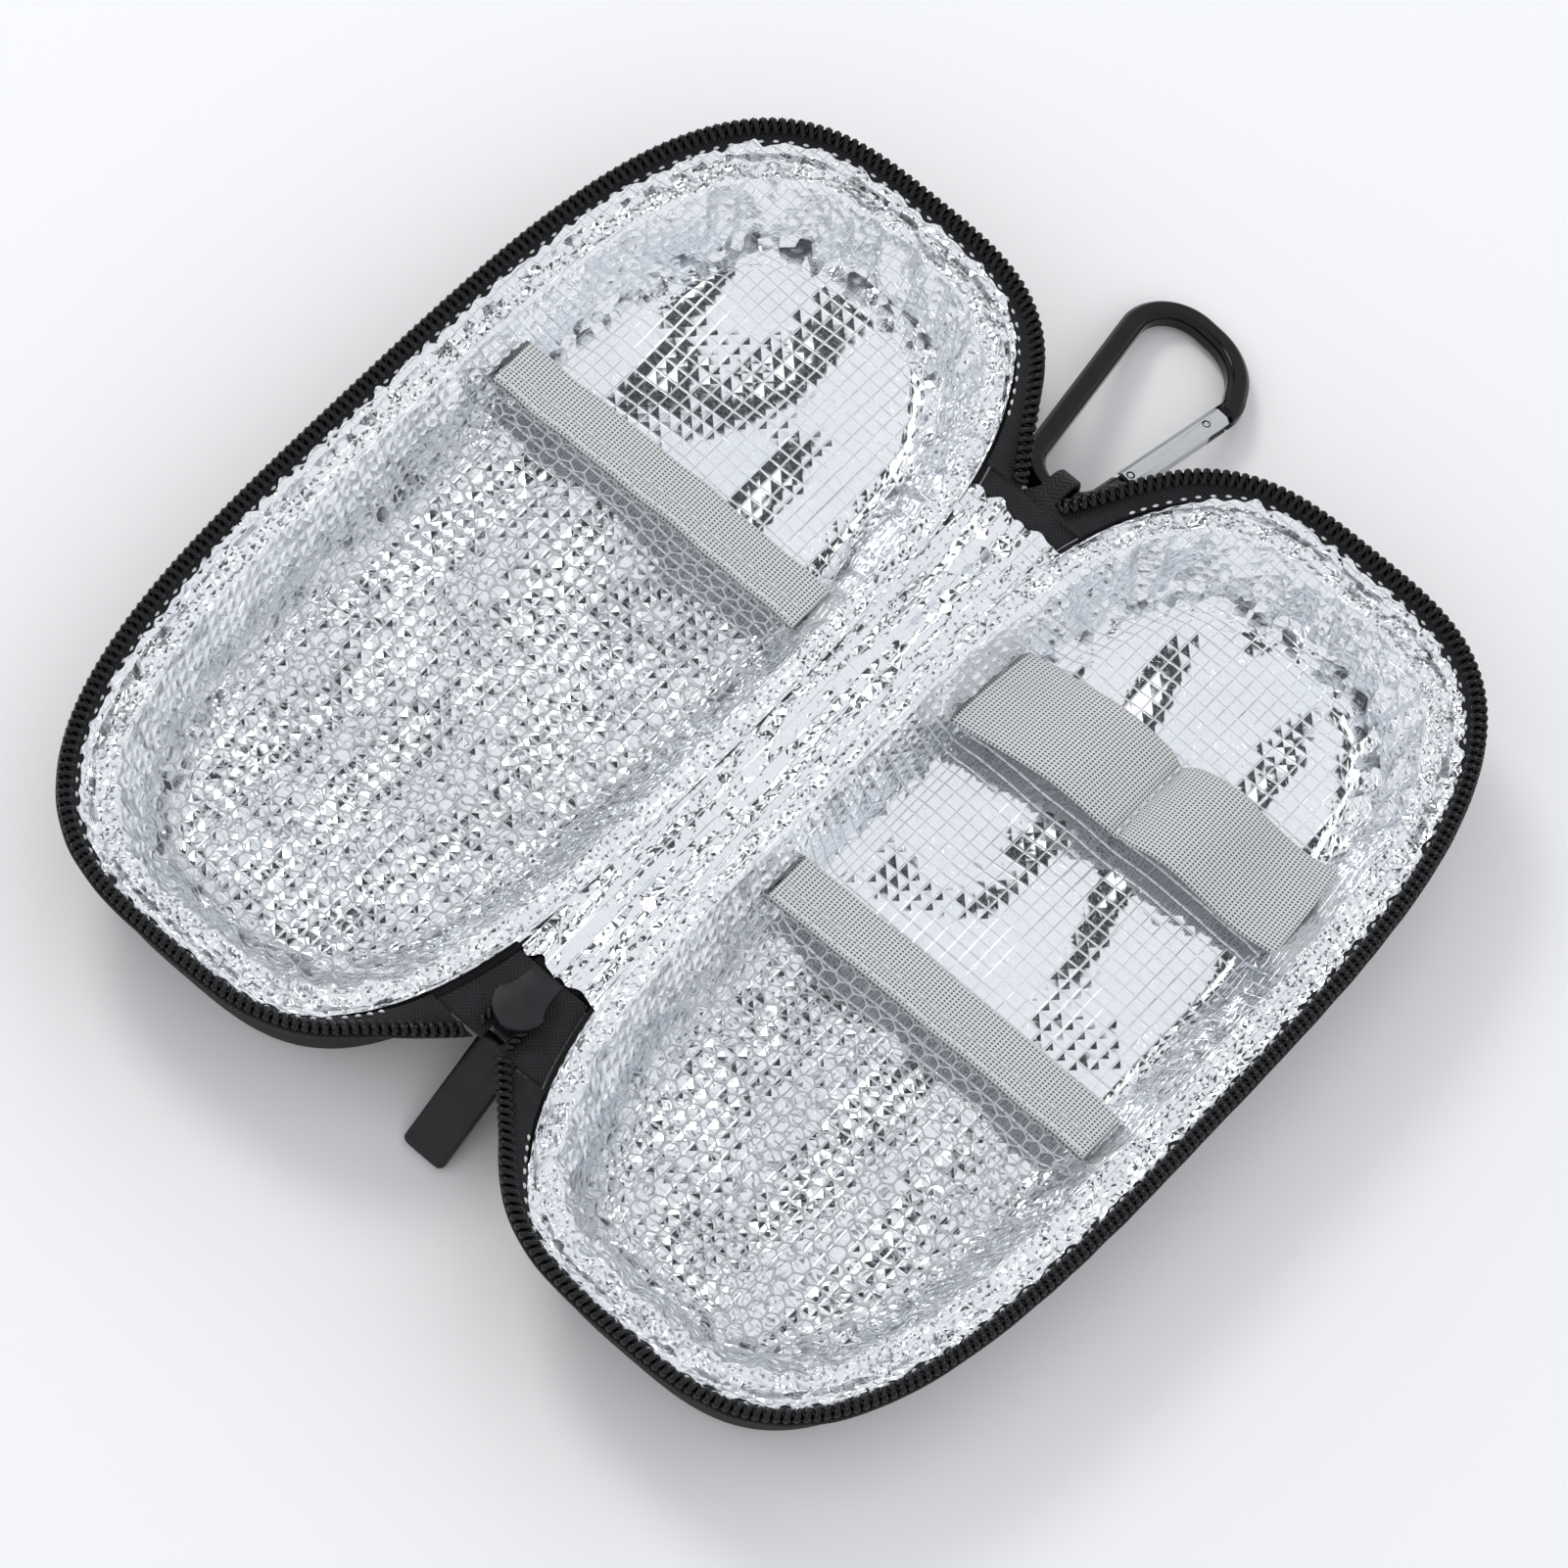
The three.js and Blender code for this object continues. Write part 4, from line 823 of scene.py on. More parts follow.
def grained(name, tone, light, scale, depth, **constants):
    """A fine grain or fibres: one noise both colours the surface and lifts it."""
    material, tree, shader = finish_named(name, **constants)
    grain = add(tree, "TexNoise", {"Vector": surface_place(tree), "Scale": scale, "Detail": 2.0})
    skin(tree, shader, grain, tone, light, grain, depth)
    return material


nylon = grained("moulded_nylon_black", "#050506", "#111114", 900.0, 0.02, Roughness=0.15, IOR=1.53,
                Specular_IOR_Level=0.26)


def helix(length, shift, frame_of, width=TOOTH_WIDTH, height=TOOTH_HEIGHT):
    """A coil strand along a line: centre plus cosine across and sine over, both flattened by a
    power, with a swelling at the head. The strand is a tube a little taller than wide."""
    steps = np.arange((int(length / COIL_PITCH) - 1) * TURN_STEPS + 1)
    turn = steps / TURN_STEPS * 2 * np.pi
    centre, along, across, over = frame_of(COIL_PITCH * (steps / TURN_STEPS + 0.5 + shift))
    strand = STRAND + HEAD * np.clip(np.cos(turn), 0, 1) ** 2
    out = np.sign(np.cos(turn)) * np.abs(np.cos(turn)) ** 0.75 * (width / 2 - strand)
    line = centre + out[:, None] * across + (np.sin(turn) * (height / 2 - STRAND))[:, None] * over
    ahead = unit(np.gradient(line, axis=0))
    side = unit(np.cross(ahead, along))
    return ringed(tube(line, side, 1.12 * np.cross(side, ahead), strand, STRAND_SIDES))


def rim_frame(distance):
    """The chain's coil centre and its directions along, across and over."""
    coil, _, _, along, up_tape, inward = chain_at(distance)
    return coil, along, up_tape, inward


for half, shift in (("base", 0.0), ("lid", 0.5)):
    points, faces = helix(RUN[-1] - COIL_PITCH * shift, shift, rim_frame)
    make(f"{half}_coil_strand", in_half(half, points), faces, nylon, half, [f"{half}_zip_coil"])
print("coil triangles", sum(2 * len(group) if group.shape[1] == 4 else len(group) for group in faces))

# %% [markdown]
# ## Stitches
# A stitch is a short length of thread that rises out of one hole and goes into the next. Each is
# a small five-sided lozenge: its centre follows a low arch and its thickness a half sine. One
# function makes a whole row at once from arrays of starts and ends.

# %% Rows of thread
STITCH_RINGS, STITCH_SIDES = 5, 5


def thread_row(starts, ends, out, thickness, lift):
    """Lozenges from starts to ends: the middle lifts by a half sine, the ends taper into the cloth."""
    ahead = ends - starts
    out = np.broadcast_to(out, ahead.shape)
    share = np.linspace(0, 1, STITCH_RINGS)
    arch = np.sin(np.pi * share)
    centre = starts[:, None] + share[:, None] * ahead[:, None] + lift * arch[:, None] * out[:, None]
    radius = np.broadcast_to(thickness / 2 * (0.35 + 0.65 * arch), centre.shape[:2])
    points = tube(centre, unit(np.cross(ahead, out))[:, None], out[:, None], radius, STITCH_SIDES)
    each = STITCH_RINGS * STITCH_SIDES
    first = np.arange(len(starts))[:, None, None] * each
    quads = (lattice(STITCH_RINGS, STITCH_SIDES, around=True)[None] + first).reshape(-1, 4)
    cap = np.arange(STITCH_SIDES)
    caps = np.concatenate([cap[None, None, ::-1] + first, cap[None, None] + each - STITCH_SIDES + first])
    return points.reshape(-1, 3), [quads, caps.reshape(-1, STITCH_SIDES)]


polyester_thread = dict(scale=2500.0, depth=0.05, Roughness=0.6, Sheen_Weight=0.3)
white_thread = grained("bonded_polyester_thread_white", "#c9cbcc", "#f1f2f2", **polyester_thread)
black_thread = grained("bonded_polyester_thread_black", "#101012", "#2c2c30", **polyester_thread)

SEAM_PITCH, SEAM_HALF = 2.75, 0.55
seam_at = np.arange(14.0, RUN[-1] - 12.0, SEAM_PITCH)
_, seam_root, _, seam_along, seam_up, seam_in = chain_at(seam_at)
hem_end = 0.3 + 1.45 * ease(seam_root[:, :1] / HALF_WIDTH, FLAP_FROM, FLAP_TO)
seam_line = seam_root + seam_up * hem_end + seam_in * (TAPE_THICK / 2 + 0.05)
seam_points, seam_faces = thread_row(seam_line - seam_along * SEAM_HALF, seam_line + seam_along * SEAM_HALF,
                                     seam_in, 0.6, 0.14)
for half in ("base", "lid"):
    make(f"{half}_hem_stitches", in_half(half, seam_points), seam_faces, white_thread, half)
print("hem stitches", len(seam_at))

# %% [markdown]
# ## Net pockets
# The net is warp-knitted polyester with hexagonal gaps 3.3 mm apart. It could be a picture of a
# net on a flat sheet, but then it would cast no shadow on the foil. So each gap is built: twelve
# points on the cell's border, shared with its neighbours, and twelve on a rounder hole, with the
# border thicker than the hole's edge. Cells that would pass the wall are drawn in to the oval,
# as the net's edge is gathered into the seam.

# %% Net knit
net_yarn = grained("warp_knit_polyester_net_grey", "#a6aaad", "#cfd3d6", 1800.0, 0.08, Roughness=0.5,
                   Sheen_Weight=0.25, Specular_IOR_Level=0.45)
NET_PITCH, NET_Z, NET_THICK, STRAND_WIDTH, CELL_SIDES = 3.3, 19.0, 0.34, 0.26, 12
NET_SAG, NET_WAVE, NET_TAUT, NET_LIMIT, HOLE_CORNER = 1.1, 0.22, 22, 0.985, 0.09


def lining_reach(z, clear=0.0):
    """How far the lining's wall stands in from the rim at a height."""
    return 5.0 + 0.9 / np.cos(np.radians(30)) + (DEPTH - z) * np.tan(np.radians(30)) + clear


NET_INSET = lining_reach(NET_Z)


def ring_of(p):
    """How far out a point lies in the net's oval: 1 is on its edge."""
    a, b = HALF_WIDTH - NET_INSET, HALF_LENGTH - NET_INSET
    return ((np.abs(p[..., 0]) / a) ** POWER + (np.abs(p[..., 1]) / b) ** POWER) ** (1 / POWER)


# %% Cells of a net
def net_cells(mouth):
    """The cells' borders and holes, and how much of a cell is yarn. The centres are rows of points
    shifted by half a pitch, and each border is a hexagon with a point on every side's middle."""
    row_pitch = NET_PITCH * np.sqrt(3) / 2
    rows = int((mouth + HALF_LENGTH) / row_pitch) + 1
    row, column = np.meshgrid(np.arange(rows), np.arange(-14, 15), indexing="ij")
    x, y = (column + row % 2 / 2) * NET_PITCH, mouth - NET_PITCH * 0.45 - row * row_pitch
    centre = np.stack([x, y], -1).reshape(-1, 2)
    centre = centre[ring_of(centre) < NET_LIMIT]
    turn = np.arange(CELL_SIDES) * 2 * np.pi / CELL_SIDES
    middle = np.arange(CELL_SIDES) % 2 == 0
    border = np.where(middle, NET_PITCH / 2, NET_PITCH / 2 / np.cos(np.pi / 6))
    hole = NET_PITCH / 2 - STRAND_WIDTH / 2 + np.where(middle, 0.0, HOLE_CORNER)
    direction = np.stack([np.cos(turn), np.sin(turn)], -1)
    edge, gap = (centre[:, None] + size[:, None] * direction for size in (border, hole))
    edge, gap = (p / np.maximum(ring_of(p), 1.0)[..., None] for p in (edge, gap))
    return edge, gap, 1 - 3 * hole[0] * hole[1] / (NET_PITCH ** 2 * np.sqrt(3) / 2)


# %% Two nets
def net(mouth, seed):
    """The net's yarn: each cell has two slopes, from its border's top and underside to its hole.
    Equal points are merged, and a border that only one cell has gets a wall."""
    edge, gap, yarn = net_cells(mouth)
    pull = [waves(gap[..., 0], gap[..., 1], 9.0, seed + k) for k in (0, 1)]
    gap = gap + 0.07 * np.stack(pull, -1)

    def lift(p, dz):
        """Points at the net's height: slack in the middle, taut at the mouth, slightly wavy."""
        slack = 1 - ease(p[..., 1], mouth - NET_TAUT, mouth)
        sag = NET_SAG * (1 - np.clip(ring_of(p), 0, 1) ** 2)
        height = NET_Z + slack * (NET_WAVE * waves(p[..., 0], p[..., 1], 16.0, seed + 2) - sag)
        return np.concatenate([p, (height + dz)[..., None]], -1)

    layers = np.stack([lift(edge, NET_THICK / 2), lift(gap, 0.0), lift(edge, -NET_THICK / 2)], axis=1)
    merged, index = np.unique(np.round(layers.reshape(-1, 3), 3), axis=0, return_inverse=True)
    index = index.reshape(-1)
    here = np.arange(CELL_SIDES)
    beside = (here + 1) % CELL_SIDES
    first = np.arange(len(edge))[:, None, None] * 3 * CELL_SIDES
    slope = np.stack([here, beside, beside + CELL_SIDES, here + CELL_SIDES], -1)
    under = slope[:, [3, 2, 1, 0]] + [0, 0, 2 * CELL_SIDES, 2 * CELL_SIDES]
    quads = np.concatenate([slope + first, under + first])
    starts, ends = ((side + first[..., 0]).reshape(-1) for side in (here, beside))
    pairs = np.sort(np.stack([index[starts], index[ends]], 1), axis=1)
    _, which, uses = np.unique(pairs, axis=0, return_inverse=True, return_counts=True)
    starts, ends = (side[uses[which.reshape(-1)] == 1] for side in (starts, ends))
    walls = np.stack([ends, starts, starts + 2 * CELL_SIDES, ends + 2 * CELL_SIDES], -1)
    quads = index[np.concatenate([quads.reshape(-1, 4), walls])]
    distinct = np.sort(quads, axis=1)
    return merged, [quads[np.all(distinct[:, 1:] != distinct[:, :-1], axis=1)]], yarn


for half, seed in (("base", 71), ("lid", 83)):
    points, faces, yarn = net(NET_MOUTH[half], seed)
    make(f"{half}_net", in_half(half, points), faces, net_yarn, half, [f"{half}_net_pocket"])
    print(half, "net's yarn covers", round(yarn, 2), "of it")

# %% [markdown]
# ## Knitted elastic
# The edgings and the wide holder are knitted elastic: rubber cores run along the band and grey
# yarn is looped round them, which leaves rows of small gaps every 0.8 mm along and 0.62 mm
# across. Two crossed waves on the band's own map make the gaps, which are pressed in and coloured
# dark as painted shade, and the cores between them stand up as soft ribs.

# %% Elastic finish
LOOP_ALONG, LOOP_ACROSS, GAP_DEPTH, RIB_DEPTH = 0.8, 0.62, 0.16, 0.025
knit, tree, shader = finish_named("knitted_elastic_grey", Roughness=0.78, Sheen_Weight=0.25,
                                  Sheen_Roughness=0.4, Specular_IOR_Level=0.25)
axes = add(tree, "SeparateXYZ", {0: add(tree, "UVMap", uv_map="lie")})
along, across = (ridge(tree, axes.outputs[key], size)
                 for key, size in (("X", LOOP_ALONG), ("Y", LOOP_ACROSS)))
crossed = add(tree, "Math", {0: along, 1: across}, operation="MULTIPLY")
gaps_and_painted_shade = add(tree, "MapRange", {"Value": crossed, "From Min": 0.28, "From Max": 0.62},
           interpolation_type="SMOOTHSTEP")
# the gaps are coloured dark grey: painted shade in the openings between the loops
loops = add(tree, "Mix", {0: gaps_and_painted_shade, 6: "#dcdede", 7: "#484a4c"}, data_type="RGBA")
wear = add(tree, "TexNoise", {"Vector": surface_place(tree), "Scale": 60.0, "Detail": 3.0})
worn = add(tree, "MapRange", {"Value": wear, "To Min": 0.0, "To Max": 0.16})
high = add(tree, "Math", {0: gaps_and_painted_shade, 1: -GAP_DEPTH, 2: 0.0}, operation="MULTIPLY_ADD")
high = add(tree, "Math", {0: across, 1: -RIB_DEPTH, 2: high}, operation="MULTIPLY_ADD")
skin(tree, shader, worn, loops, "#909294", high)
print("elastic loops", LOOP_ALONG, "by", LOOP_ACROSS, "mm")

# %% [markdown]
# ## Pocket edgings
# A band of the elastic is folded over the net's edge and sewn through. The fold is drawn as one
# closed section, round at its free edge and open at the other, where the net goes in, and the
# section is carried straight across the pocket. It bows a little, because the net pulls it.

# %% Edgings and their seams
EDGING_WIDTH, EDGING_THICK, EDGING_FOLD, EDGING_SLOT = 10.5, 2.4, 3.7, 0.32
EDGE_SEAMS, EDGE_PITCH, EDGE_STITCH = (3.6, 0.9), 2.7, 2.25


def edging_section(steps=7):
    """A U on its side: rounded outer fold, two leaves, and the slot between them for the net."""
    half, side, leaf = EDGING_THICK / 2, EDGING_WIDTH / 2, EDGING_THICK / 2 - EDGING_SLOT
    turn, tip = np.linspace(-np.pi / 2, np.pi / 2, steps), np.linspace(np.pi / 2, 3 * np.pi / 2, 5)
    fold = np.stack([side - 0.8 + 0.8 * np.cos(turn), half * np.sin(turn)], 1)
    end = [leaf / 2 - side, EDGING_SLOT + leaf / 2] + leaf / 2 * np.stack([np.cos(tip), np.sin(tip)], 1)
    run = np.linspace(side - 1.0, 1.0 - side, 6)
    top = np.stack([run, half - 0.14 * np.cos(run / EDGING_WIDTH * 2 * np.pi) ** 2], 1)
    slot = [[EDGING_FOLD - side, EDGING_SLOT], [EDGING_FOLD - side, -EDGING_SLOT]]
    return np.concatenate([fold, top, end, slot, end[::-1] * [1, -1], top[::-1] * [1, -1]])


def edging(mouth, reach_x, seed):
    """The section carried across the pocket on a line that bows and sags by a half cosine, its map,
    and its two rows of stitches."""
    run = np.linspace(-reach_x, reach_x, 150)
    bow, none = np.cos(run / reach_x * np.pi / 2), np.zeros_like(run)
    path = np.stack([run, mouth - 0.35 + 0.35 * bow + 0.16 * waves(run, none, 14.0, seed),
                     NET_Z - 0.2 * bow + 0.18 * waves(run, none, 17.0, seed + 1)], 1)
    section = edging_section()
    rings = swept(path, *(np.broadcast_to(way, path.shape) for way in ([0, 1, 0], [0, 0, 1])), section)
    lie = section_map(rings, np.broadcast_to(run_of(section), (len(run), len(section))), run)
    at = np.arange(-reach_x + 1.2, reach_x - 2.2, EDGE_PITCH)
    rows = []
    for across in EDGE_SEAMS:
        on = lambda x: np.stack([x, np.interp(x, run, path[:, 1]) + across - EDGING_WIDTH / 2,
                                 np.interp(x, run, path[:, 2]) + EDGING_THICK / 2 - 0.1], 1)
        rows.append(thread_row(on(at), on(at + EDGE_STITCH), [0.0, 0.0, 1.0], 0.6, 0.3))
    return ringed(rings), lie, joined(rows)


for half, mouth, reach_x, seed, depth in (("base", -14.0, 35.9, 19, 0.078),
                                          ("lid", 28.0, 35.5, 29, 0.118)):
    (points, faces), lie, (seam, seam_faces) = edging(mouth, reach_x, seed)
    trim = make(f"{half}_edging", in_half(half, points), faces, knit, half, [f"{half}_pocket_edging"],
                {"lie": lie})
    thread = make(f"{half}_edging_seam", in_half(half, seam), seam_faces, white_thread, half)
    print(half, "edging", round(2 * reach_x, 1), "mm across")

# %% [markdown]
# ## Wide elastic holder
# A slack band 20 mm wide crosses the base's hollow and is sewn down at its middle, so that it
# stands up in two arches that pens push under. Its line is a half sine and a full sine for each
# arch. Both edges curl down a little, and the seam pinches it narrower in the middle.

# %% Holder and its seam
HOLDER_WIDTH, HOLDER_THICK, HOLDER_Y, HOLDER_SKEW, HOLDER_Z = 20.0, 1.2, 41.5, 5.0, 17.6
HOLDER_LIFT, HOLDER_SWAY = np.array([3.6, 1.7]), np.array([-0.6, 2.3])
HOLDER_CURL, HOLDER_EDGE, HOLDER_PINCH, HOLDER_DIP = 0.35, 0.22, 0.07, 0.7

share = np.linspace(0, 1, 161)[:, None]
way = np.linspace(-1, 1, 25)[None, :]
arch = np.minimum(1, np.floor(2 * share)).astype(int)
in_arch = 2 * share - arch
holder_height = HOLDER_Z + HOLDER_LIFT[arch] * np.sin(np.pi * in_arch)
holder_height = holder_height + HOLDER_SWAY[arch] * np.sin(2 * np.pi * in_arch)
pinch = 1 - HOLDER_PINCH * np.exp(-((share - 0.5) / 0.03) ** 2)
holder_y = HOLDER_Y + HOLDER_SKEW * (share - 0.5) + way * HOLDER_WIDTH / 2 * pinch
holder_x = reach(lining_reach(17.0, 0.3), holder_y) * (2 * share - 1)
holder_z = holder_height - HOLDER_CURL * way ** 4 + 0.1 * waves(holder_x, holder_y, 12.0, 91)
holder_z = holder_z - HOLDER_DIP * np.exp(-((share - 0.5) / 0.016) ** 2)
middle = np.stack([holder_x, holder_y, holder_z], -1)
half_thick = np.where(np.abs(way) > 0.999, HOLDER_EDGE, HOLDER_THICK / 2)[..., None] * [0, 0, 1]
holder_rings = np.concatenate([middle + half_thick, (middle - half_thick)[:, ::-1]], axis=1)
points, faces = ringed(holder_rings)
run = run_of(middle[:, 12])
sides = np.concatenate([way[0], way[0][::-1]]) * HOLDER_WIDTH / 2 + np.repeat([0, 0.3], way.size)
lie = section_map(holder_rings, np.broadcast_to(sides, (len(run), len(sides))), run)
holder = make("wide_elastic", points, faces, knit, "base", ["elastic_holder"], {"lie": lie})

seam_y = HOLDER_Y + np.linspace(-0.93, 0.9, 9) * HOLDER_WIDTH / 2
stitch = lambda y: np.stack([0 * y, y, np.full_like(y, HOLDER_Z + HOLDER_THICK / 2 - 0.4)], 1)
points, faces = thread_row(stitch(seam_y), stitch(seam_y + 1.75), [0.0, 0.0, 1.0], 0.7, 0.3)
seam = make("holder_stitches", points, faces, white_thread, "base", ["holder_seam_thread"])
print("holder band", round(float(run[-1]), 1), "mm long")

# %% [markdown]
# ## Spine
# A strip of cloth joins the halves, and the same foil lines it. The foil is sewn to both hems, so
# it crosses the two folds: each side of it runs from the middle to under its own half's hem. It
# lies in a shallow valley with one crease down the middle. The cloth outside each fold starts
# under the strip, goes round below the fold and ends on the half's own wall. Neither the foil's
# sides nor the fold cloth are blended between spine and half, and none of them rides on a body.

# %% Spine cloth and the cloth of both folds
STRIP_Z, STRIP_WIDTH, STRIP_THICK = 23.08, 9.8, 1.16
FOLD_CLEAR, FOLD_THICK, FOLD_Z, FOLD_START = 0.27, 0.3, 22.3, 4.4


def along_y(y, x, z):
    """Centre points and the two side directions of a band that runs along Y."""
    centre = np.stack([x * np.ones_like(y), y, z * np.ones_like(y)], 1)
    return centre, *(np.broadcast_to(way, centre.shape) for way in ([1.0, 0.0, 0.0], [0.0, 0.0, 1.0]))


def fold_cloth():
    """The cloth outside the base's fold: a line in each section from under the strip, round, and
    down the shell's wall, given its thickness along the line's normals."""
    wall = lambda below: (-SPINE_X - reach(below * np.tan(np.radians(WALL_LEAN)), spine_y) - FOLD_CLEAR,
                          np.full_like(spine_y, DEPTH - below))
    under = lambda out: np.broadcast_to([[out], [FOLD_Z]], (2, len(spine_y)))
    bend = ((FOLD_START + wall(2.2)[0]) / 2, np.full_like(spine_y, FOLD_Z - 0.15))
    line = np.array([under(FOLD_START - 1.0), under(FOLD_START), bend, wall(2.2), wall(3.0), wall(4.6)])
    line = line.transpose(2, 0, 1)
    ahead = unit(np.gradient(line, axis=1))
    over = np.stack([-ahead[..., 1], ahead[..., 0]], -1) * FOLD_THICK / 2
    section = np.concatenate([line + over, (line - over)[:, ::-1]], axis=1)
    y = np.broadcast_to(spine_y[:, None], section.shape[:2])
    return ringed(np.stack([section[..., 0] + SPINE_X, y, section[..., 1]], -1))


def blend_at_fold(piece, half, end):
    """Works out the two places, at two distances from the spine's middle, between which a piece would be
    blended from the spine to a half; the blend is not made, and the piece's place is only put into its
    mesh.
    """
    way = 1 if half == "base" else -1
    start, end = (((SPINE_X + way * out) * 0.001, 0, 0.024) for out in (FOLD_START, end))
    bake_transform(piece)


spine_y = np.linspace(SPINE_LOW, SPINE_HIGH, 123)
rings, _ = band(*along_y(spine_y, SPINE_X, STRIP_Z), np.full(len(spine_y), STRIP_WIDTH), STRIP_THICK,
                edge=0.3)
points, faces = ringed(rings)
strip = make("spine_strip", points, faces, shell_cloth, "spine", ["spine_cloth"])
points, faces = fold_cloth()
for half in ("base", "lid"):
    piece = make(f"fold_cloth_{half}_side", in_half(half, points), faces, shell_cloth, None)
    blend_at_fold(piece, half, 5.0)
print("spine strip and folds", len(spine_y), "sections")


# %% Foil of the spine
def spine_lining(seed):
    """One side of the spine's foil, from the middle crease to its edge under the base's hem: a belly
    raised by a power of a sine, with folds and creases that are sums of waves."""
    y, out = np.meshgrid(np.linspace(SPINE_LOW, SPINE_HIGH, 245), np.linspace(0, 1, 27), indexing="ij")
    x = SPINE_X + (-SPINE_X - reach(2.2, y)) * out
    ends = 1 - ease(y, SPINE_LOW, SPINE_LOW + 5) + ease(y, SPINE_HIGH - 5, SPINE_HIGH)
    y = y + ends * (0.5 * waves(x, y * 0, 4.0, seed + 5) + 0.5 * np.sin(np.pi * out))
    belly = np.sin(np.pi * np.clip(out * 1.04, 0, 1)) ** 0.7
    folds = 0.5 * waves(x, y, 8.0, seed, stretch=(1, 6.0))
    creases = 0.16 * (1 - 2 * np.abs(waves(x, y, 5.0, seed + 1, stretch=(1, 3.0))))
    z = np.maximum(24.08 + 0.24 * out + belly * (0.34 + folds + creases), 23.85)
    edge = (-SPINE_X - reach(2.2, y)) * (1 - out)
    hem = np.stack([y, HOLE_ROWS[0] + (edge - 2.4) * 1.4], -1)
    wear = {"crumple": 0.2 + 0.2 * belly, "quilt": np.ones_like(belly)}
    return np.stack([x, y, z], -1), np.stack([x, y], -1), hem, wear


for half, seed in (("base", 131), ("lid", 149)):
    points, lie, hem, wear = spine_lining(seed)
    piece = make(f"spine_foil_{half}_side", in_half(half, points.reshape(-1, 3)),
                 [lattice(*points.shape[:2])], film, None, ["spine_foil"],
                 {"lie": lie, "hem": hem}, wear, open_sheet=True)
    blend_at_fold(piece, half, 6.2)
print("spine foil", points.shape[:2], "points a side")

# %% [markdown]
# ## Tape ends and last teeth
# At both ends of the spine the two tapes come together in a small triangle of herringbone. At
# the slider's end it splits round the slider's wedge, and the last three teeth of each coil are
# sewn down straight, ready for the slider.

# %% Tape ends
TAPE_END_Z, SLIDER_SIDE, HOOK_SIDE = 23.6, (-74.9, -58.3), (64.3, 69.15)
LAST_TEETH_LOW, LAST_TEETH, LAST_WIDTH, LAST_SHIFT = -73.9, 3, 1.9, 0.4


def tape_end(name, low, high, inner, outer, stands_for):
    """A flat band along Y between two edges that are functions of Y."""
    y = np.linspace(low, high, 33)
    x_in, x_out = inner(y), outer(y)
    middle = (x_in + x_out) / 2
    rings, sides = band(*along_y(y, middle, TAPE_END_Z), x_out - x_in, TAPE_THICK, edge=0.3, bulge=5)
    points, faces = ringed(rings)
    uv = section_map(rings, sides + (middle - SPINE_X)[:, None], y)
    make(name, points, faces, zip_cloth, "spine", stands_for, {"lie": uv})


base_edge = lambda y: -reach(0, y) - 0.25
lid_edge = lambda y: SPINE_X * 2 - base_edge(y)
slot = lambda y: 1.8 * (1 - ease(y, -66.6, -65.9))
tape_end("tape_end_base_side", *SLIDER_SIDE, lambda y: SPINE_X + slot(y), base_edge, ["gusset_slider_end"])
tape_end("tape_end_lid_side", *SLIDER_SIDE, lid_edge, lambda y: SPINE_X - slot(y), ["gusset_slider_end"])
tape_end("tape_end_at_hook", *HOOK_SIDE, lid_edge, base_edge, ["gusset_hook_end"])


def last_teeth(distance):
    """A straight line up the spine beside its middle, and the directions along, across and over."""
    y = LAST_TEETH_LOW + distance - TOOTH_PITCH / 2
    centre, across, over = along_y(y, GATHER_X, DEPTH + GATHER_RISE)
    return centre, np.broadcast_to([0.0, 1.0, 0.0], centre.shape), -across, over


teeth, faces = helix(TOOTH_PITCH * (LAST_TEETH + 1.01), 0.0, last_teeth, LAST_WIDTH)
for half, shift in (("base", 0.0), ("lid", LAST_SHIFT * TOOTH_PITCH)):
    make(f"last_teeth_{half}", in_half(half, teeth + [0, shift, 0]), faces, nylon, "spine",
         [f"chain_end_{half}"])
print("last teeth", len(teeth), "points a side")

# %% [markdown]
# ## Webbing loop
# A strap of ribbed polyester webbing is doubled and sewn under the spine, and its fold holds the
# hook. Its line is seen from the side: a straight tail, a tangent, an arc round the hook's bar,
# and the same way back. It is gathered narrower in the fold.

# %% Webbing and bar tack
EYE_Y, EYE_Z, EYE_RADIUS, WEB_THICK, WEB_WIDTH = 76.5, 15.2, 4.5, 1.1, 8.0
TAIL_Y, TAIL_END, TAIL_LOW, TAIL_HIGH = 63.7, 52.7, 20.4, 21.6
TACK_HALF, TACK_Z, TACK_FROM, TACK_TO = 3.7, 19.32, 57.45, 58.95
webbing_weave = herringbone("ribbed_polyester_webbing_black", "#0e0e10", "#2f2f33", 1.15, 1.3, 0.16)


def webbing_line():
    """The strap's middle line in Y and Z: the tail, the arc between two tangents, and back, spaced
    evenly and smoothed by averaging each point with its neighbours."""
    def touch(z, way):
        """Where a line from the tail touches the eye's circle."""
        dy, dz = TAIL_Y - EYE_Y, z - EYE_Z
        return np.arctan2(dz, dy) + way * np.arccos(EYE_RADIUS / np.hypot(dy, dz))
    arc = np.linspace(touch(TAIL_LOW, 1), touch(TAIL_HIGH, -1) + 2 * np.pi, 60)
    turn = [EYE_Y, EYE_Z] + EYE_RADIUS * np.stack([np.cos(arc), np.sin(arc)], 1)
    corners = np.concatenate([[[TAIL_END, TAIL_LOW], [TAIL_Y, TAIL_LOW]], turn,
                              [[TAIL_Y, TAIL_HIGH], [TAIL_END, TAIL_HIGH]]])
    length = run_of(corners)
    even = np.linspace(0, length[-1], 170)
    line = np.stack([np.interp(even, length, corners[:, k]) for k in (0, 1)], 1)
    for _ in range(6):
        line[1:-1] = (line[:-2] + 2 * line[1:-1] + line[2:]) / 4
    return even, line


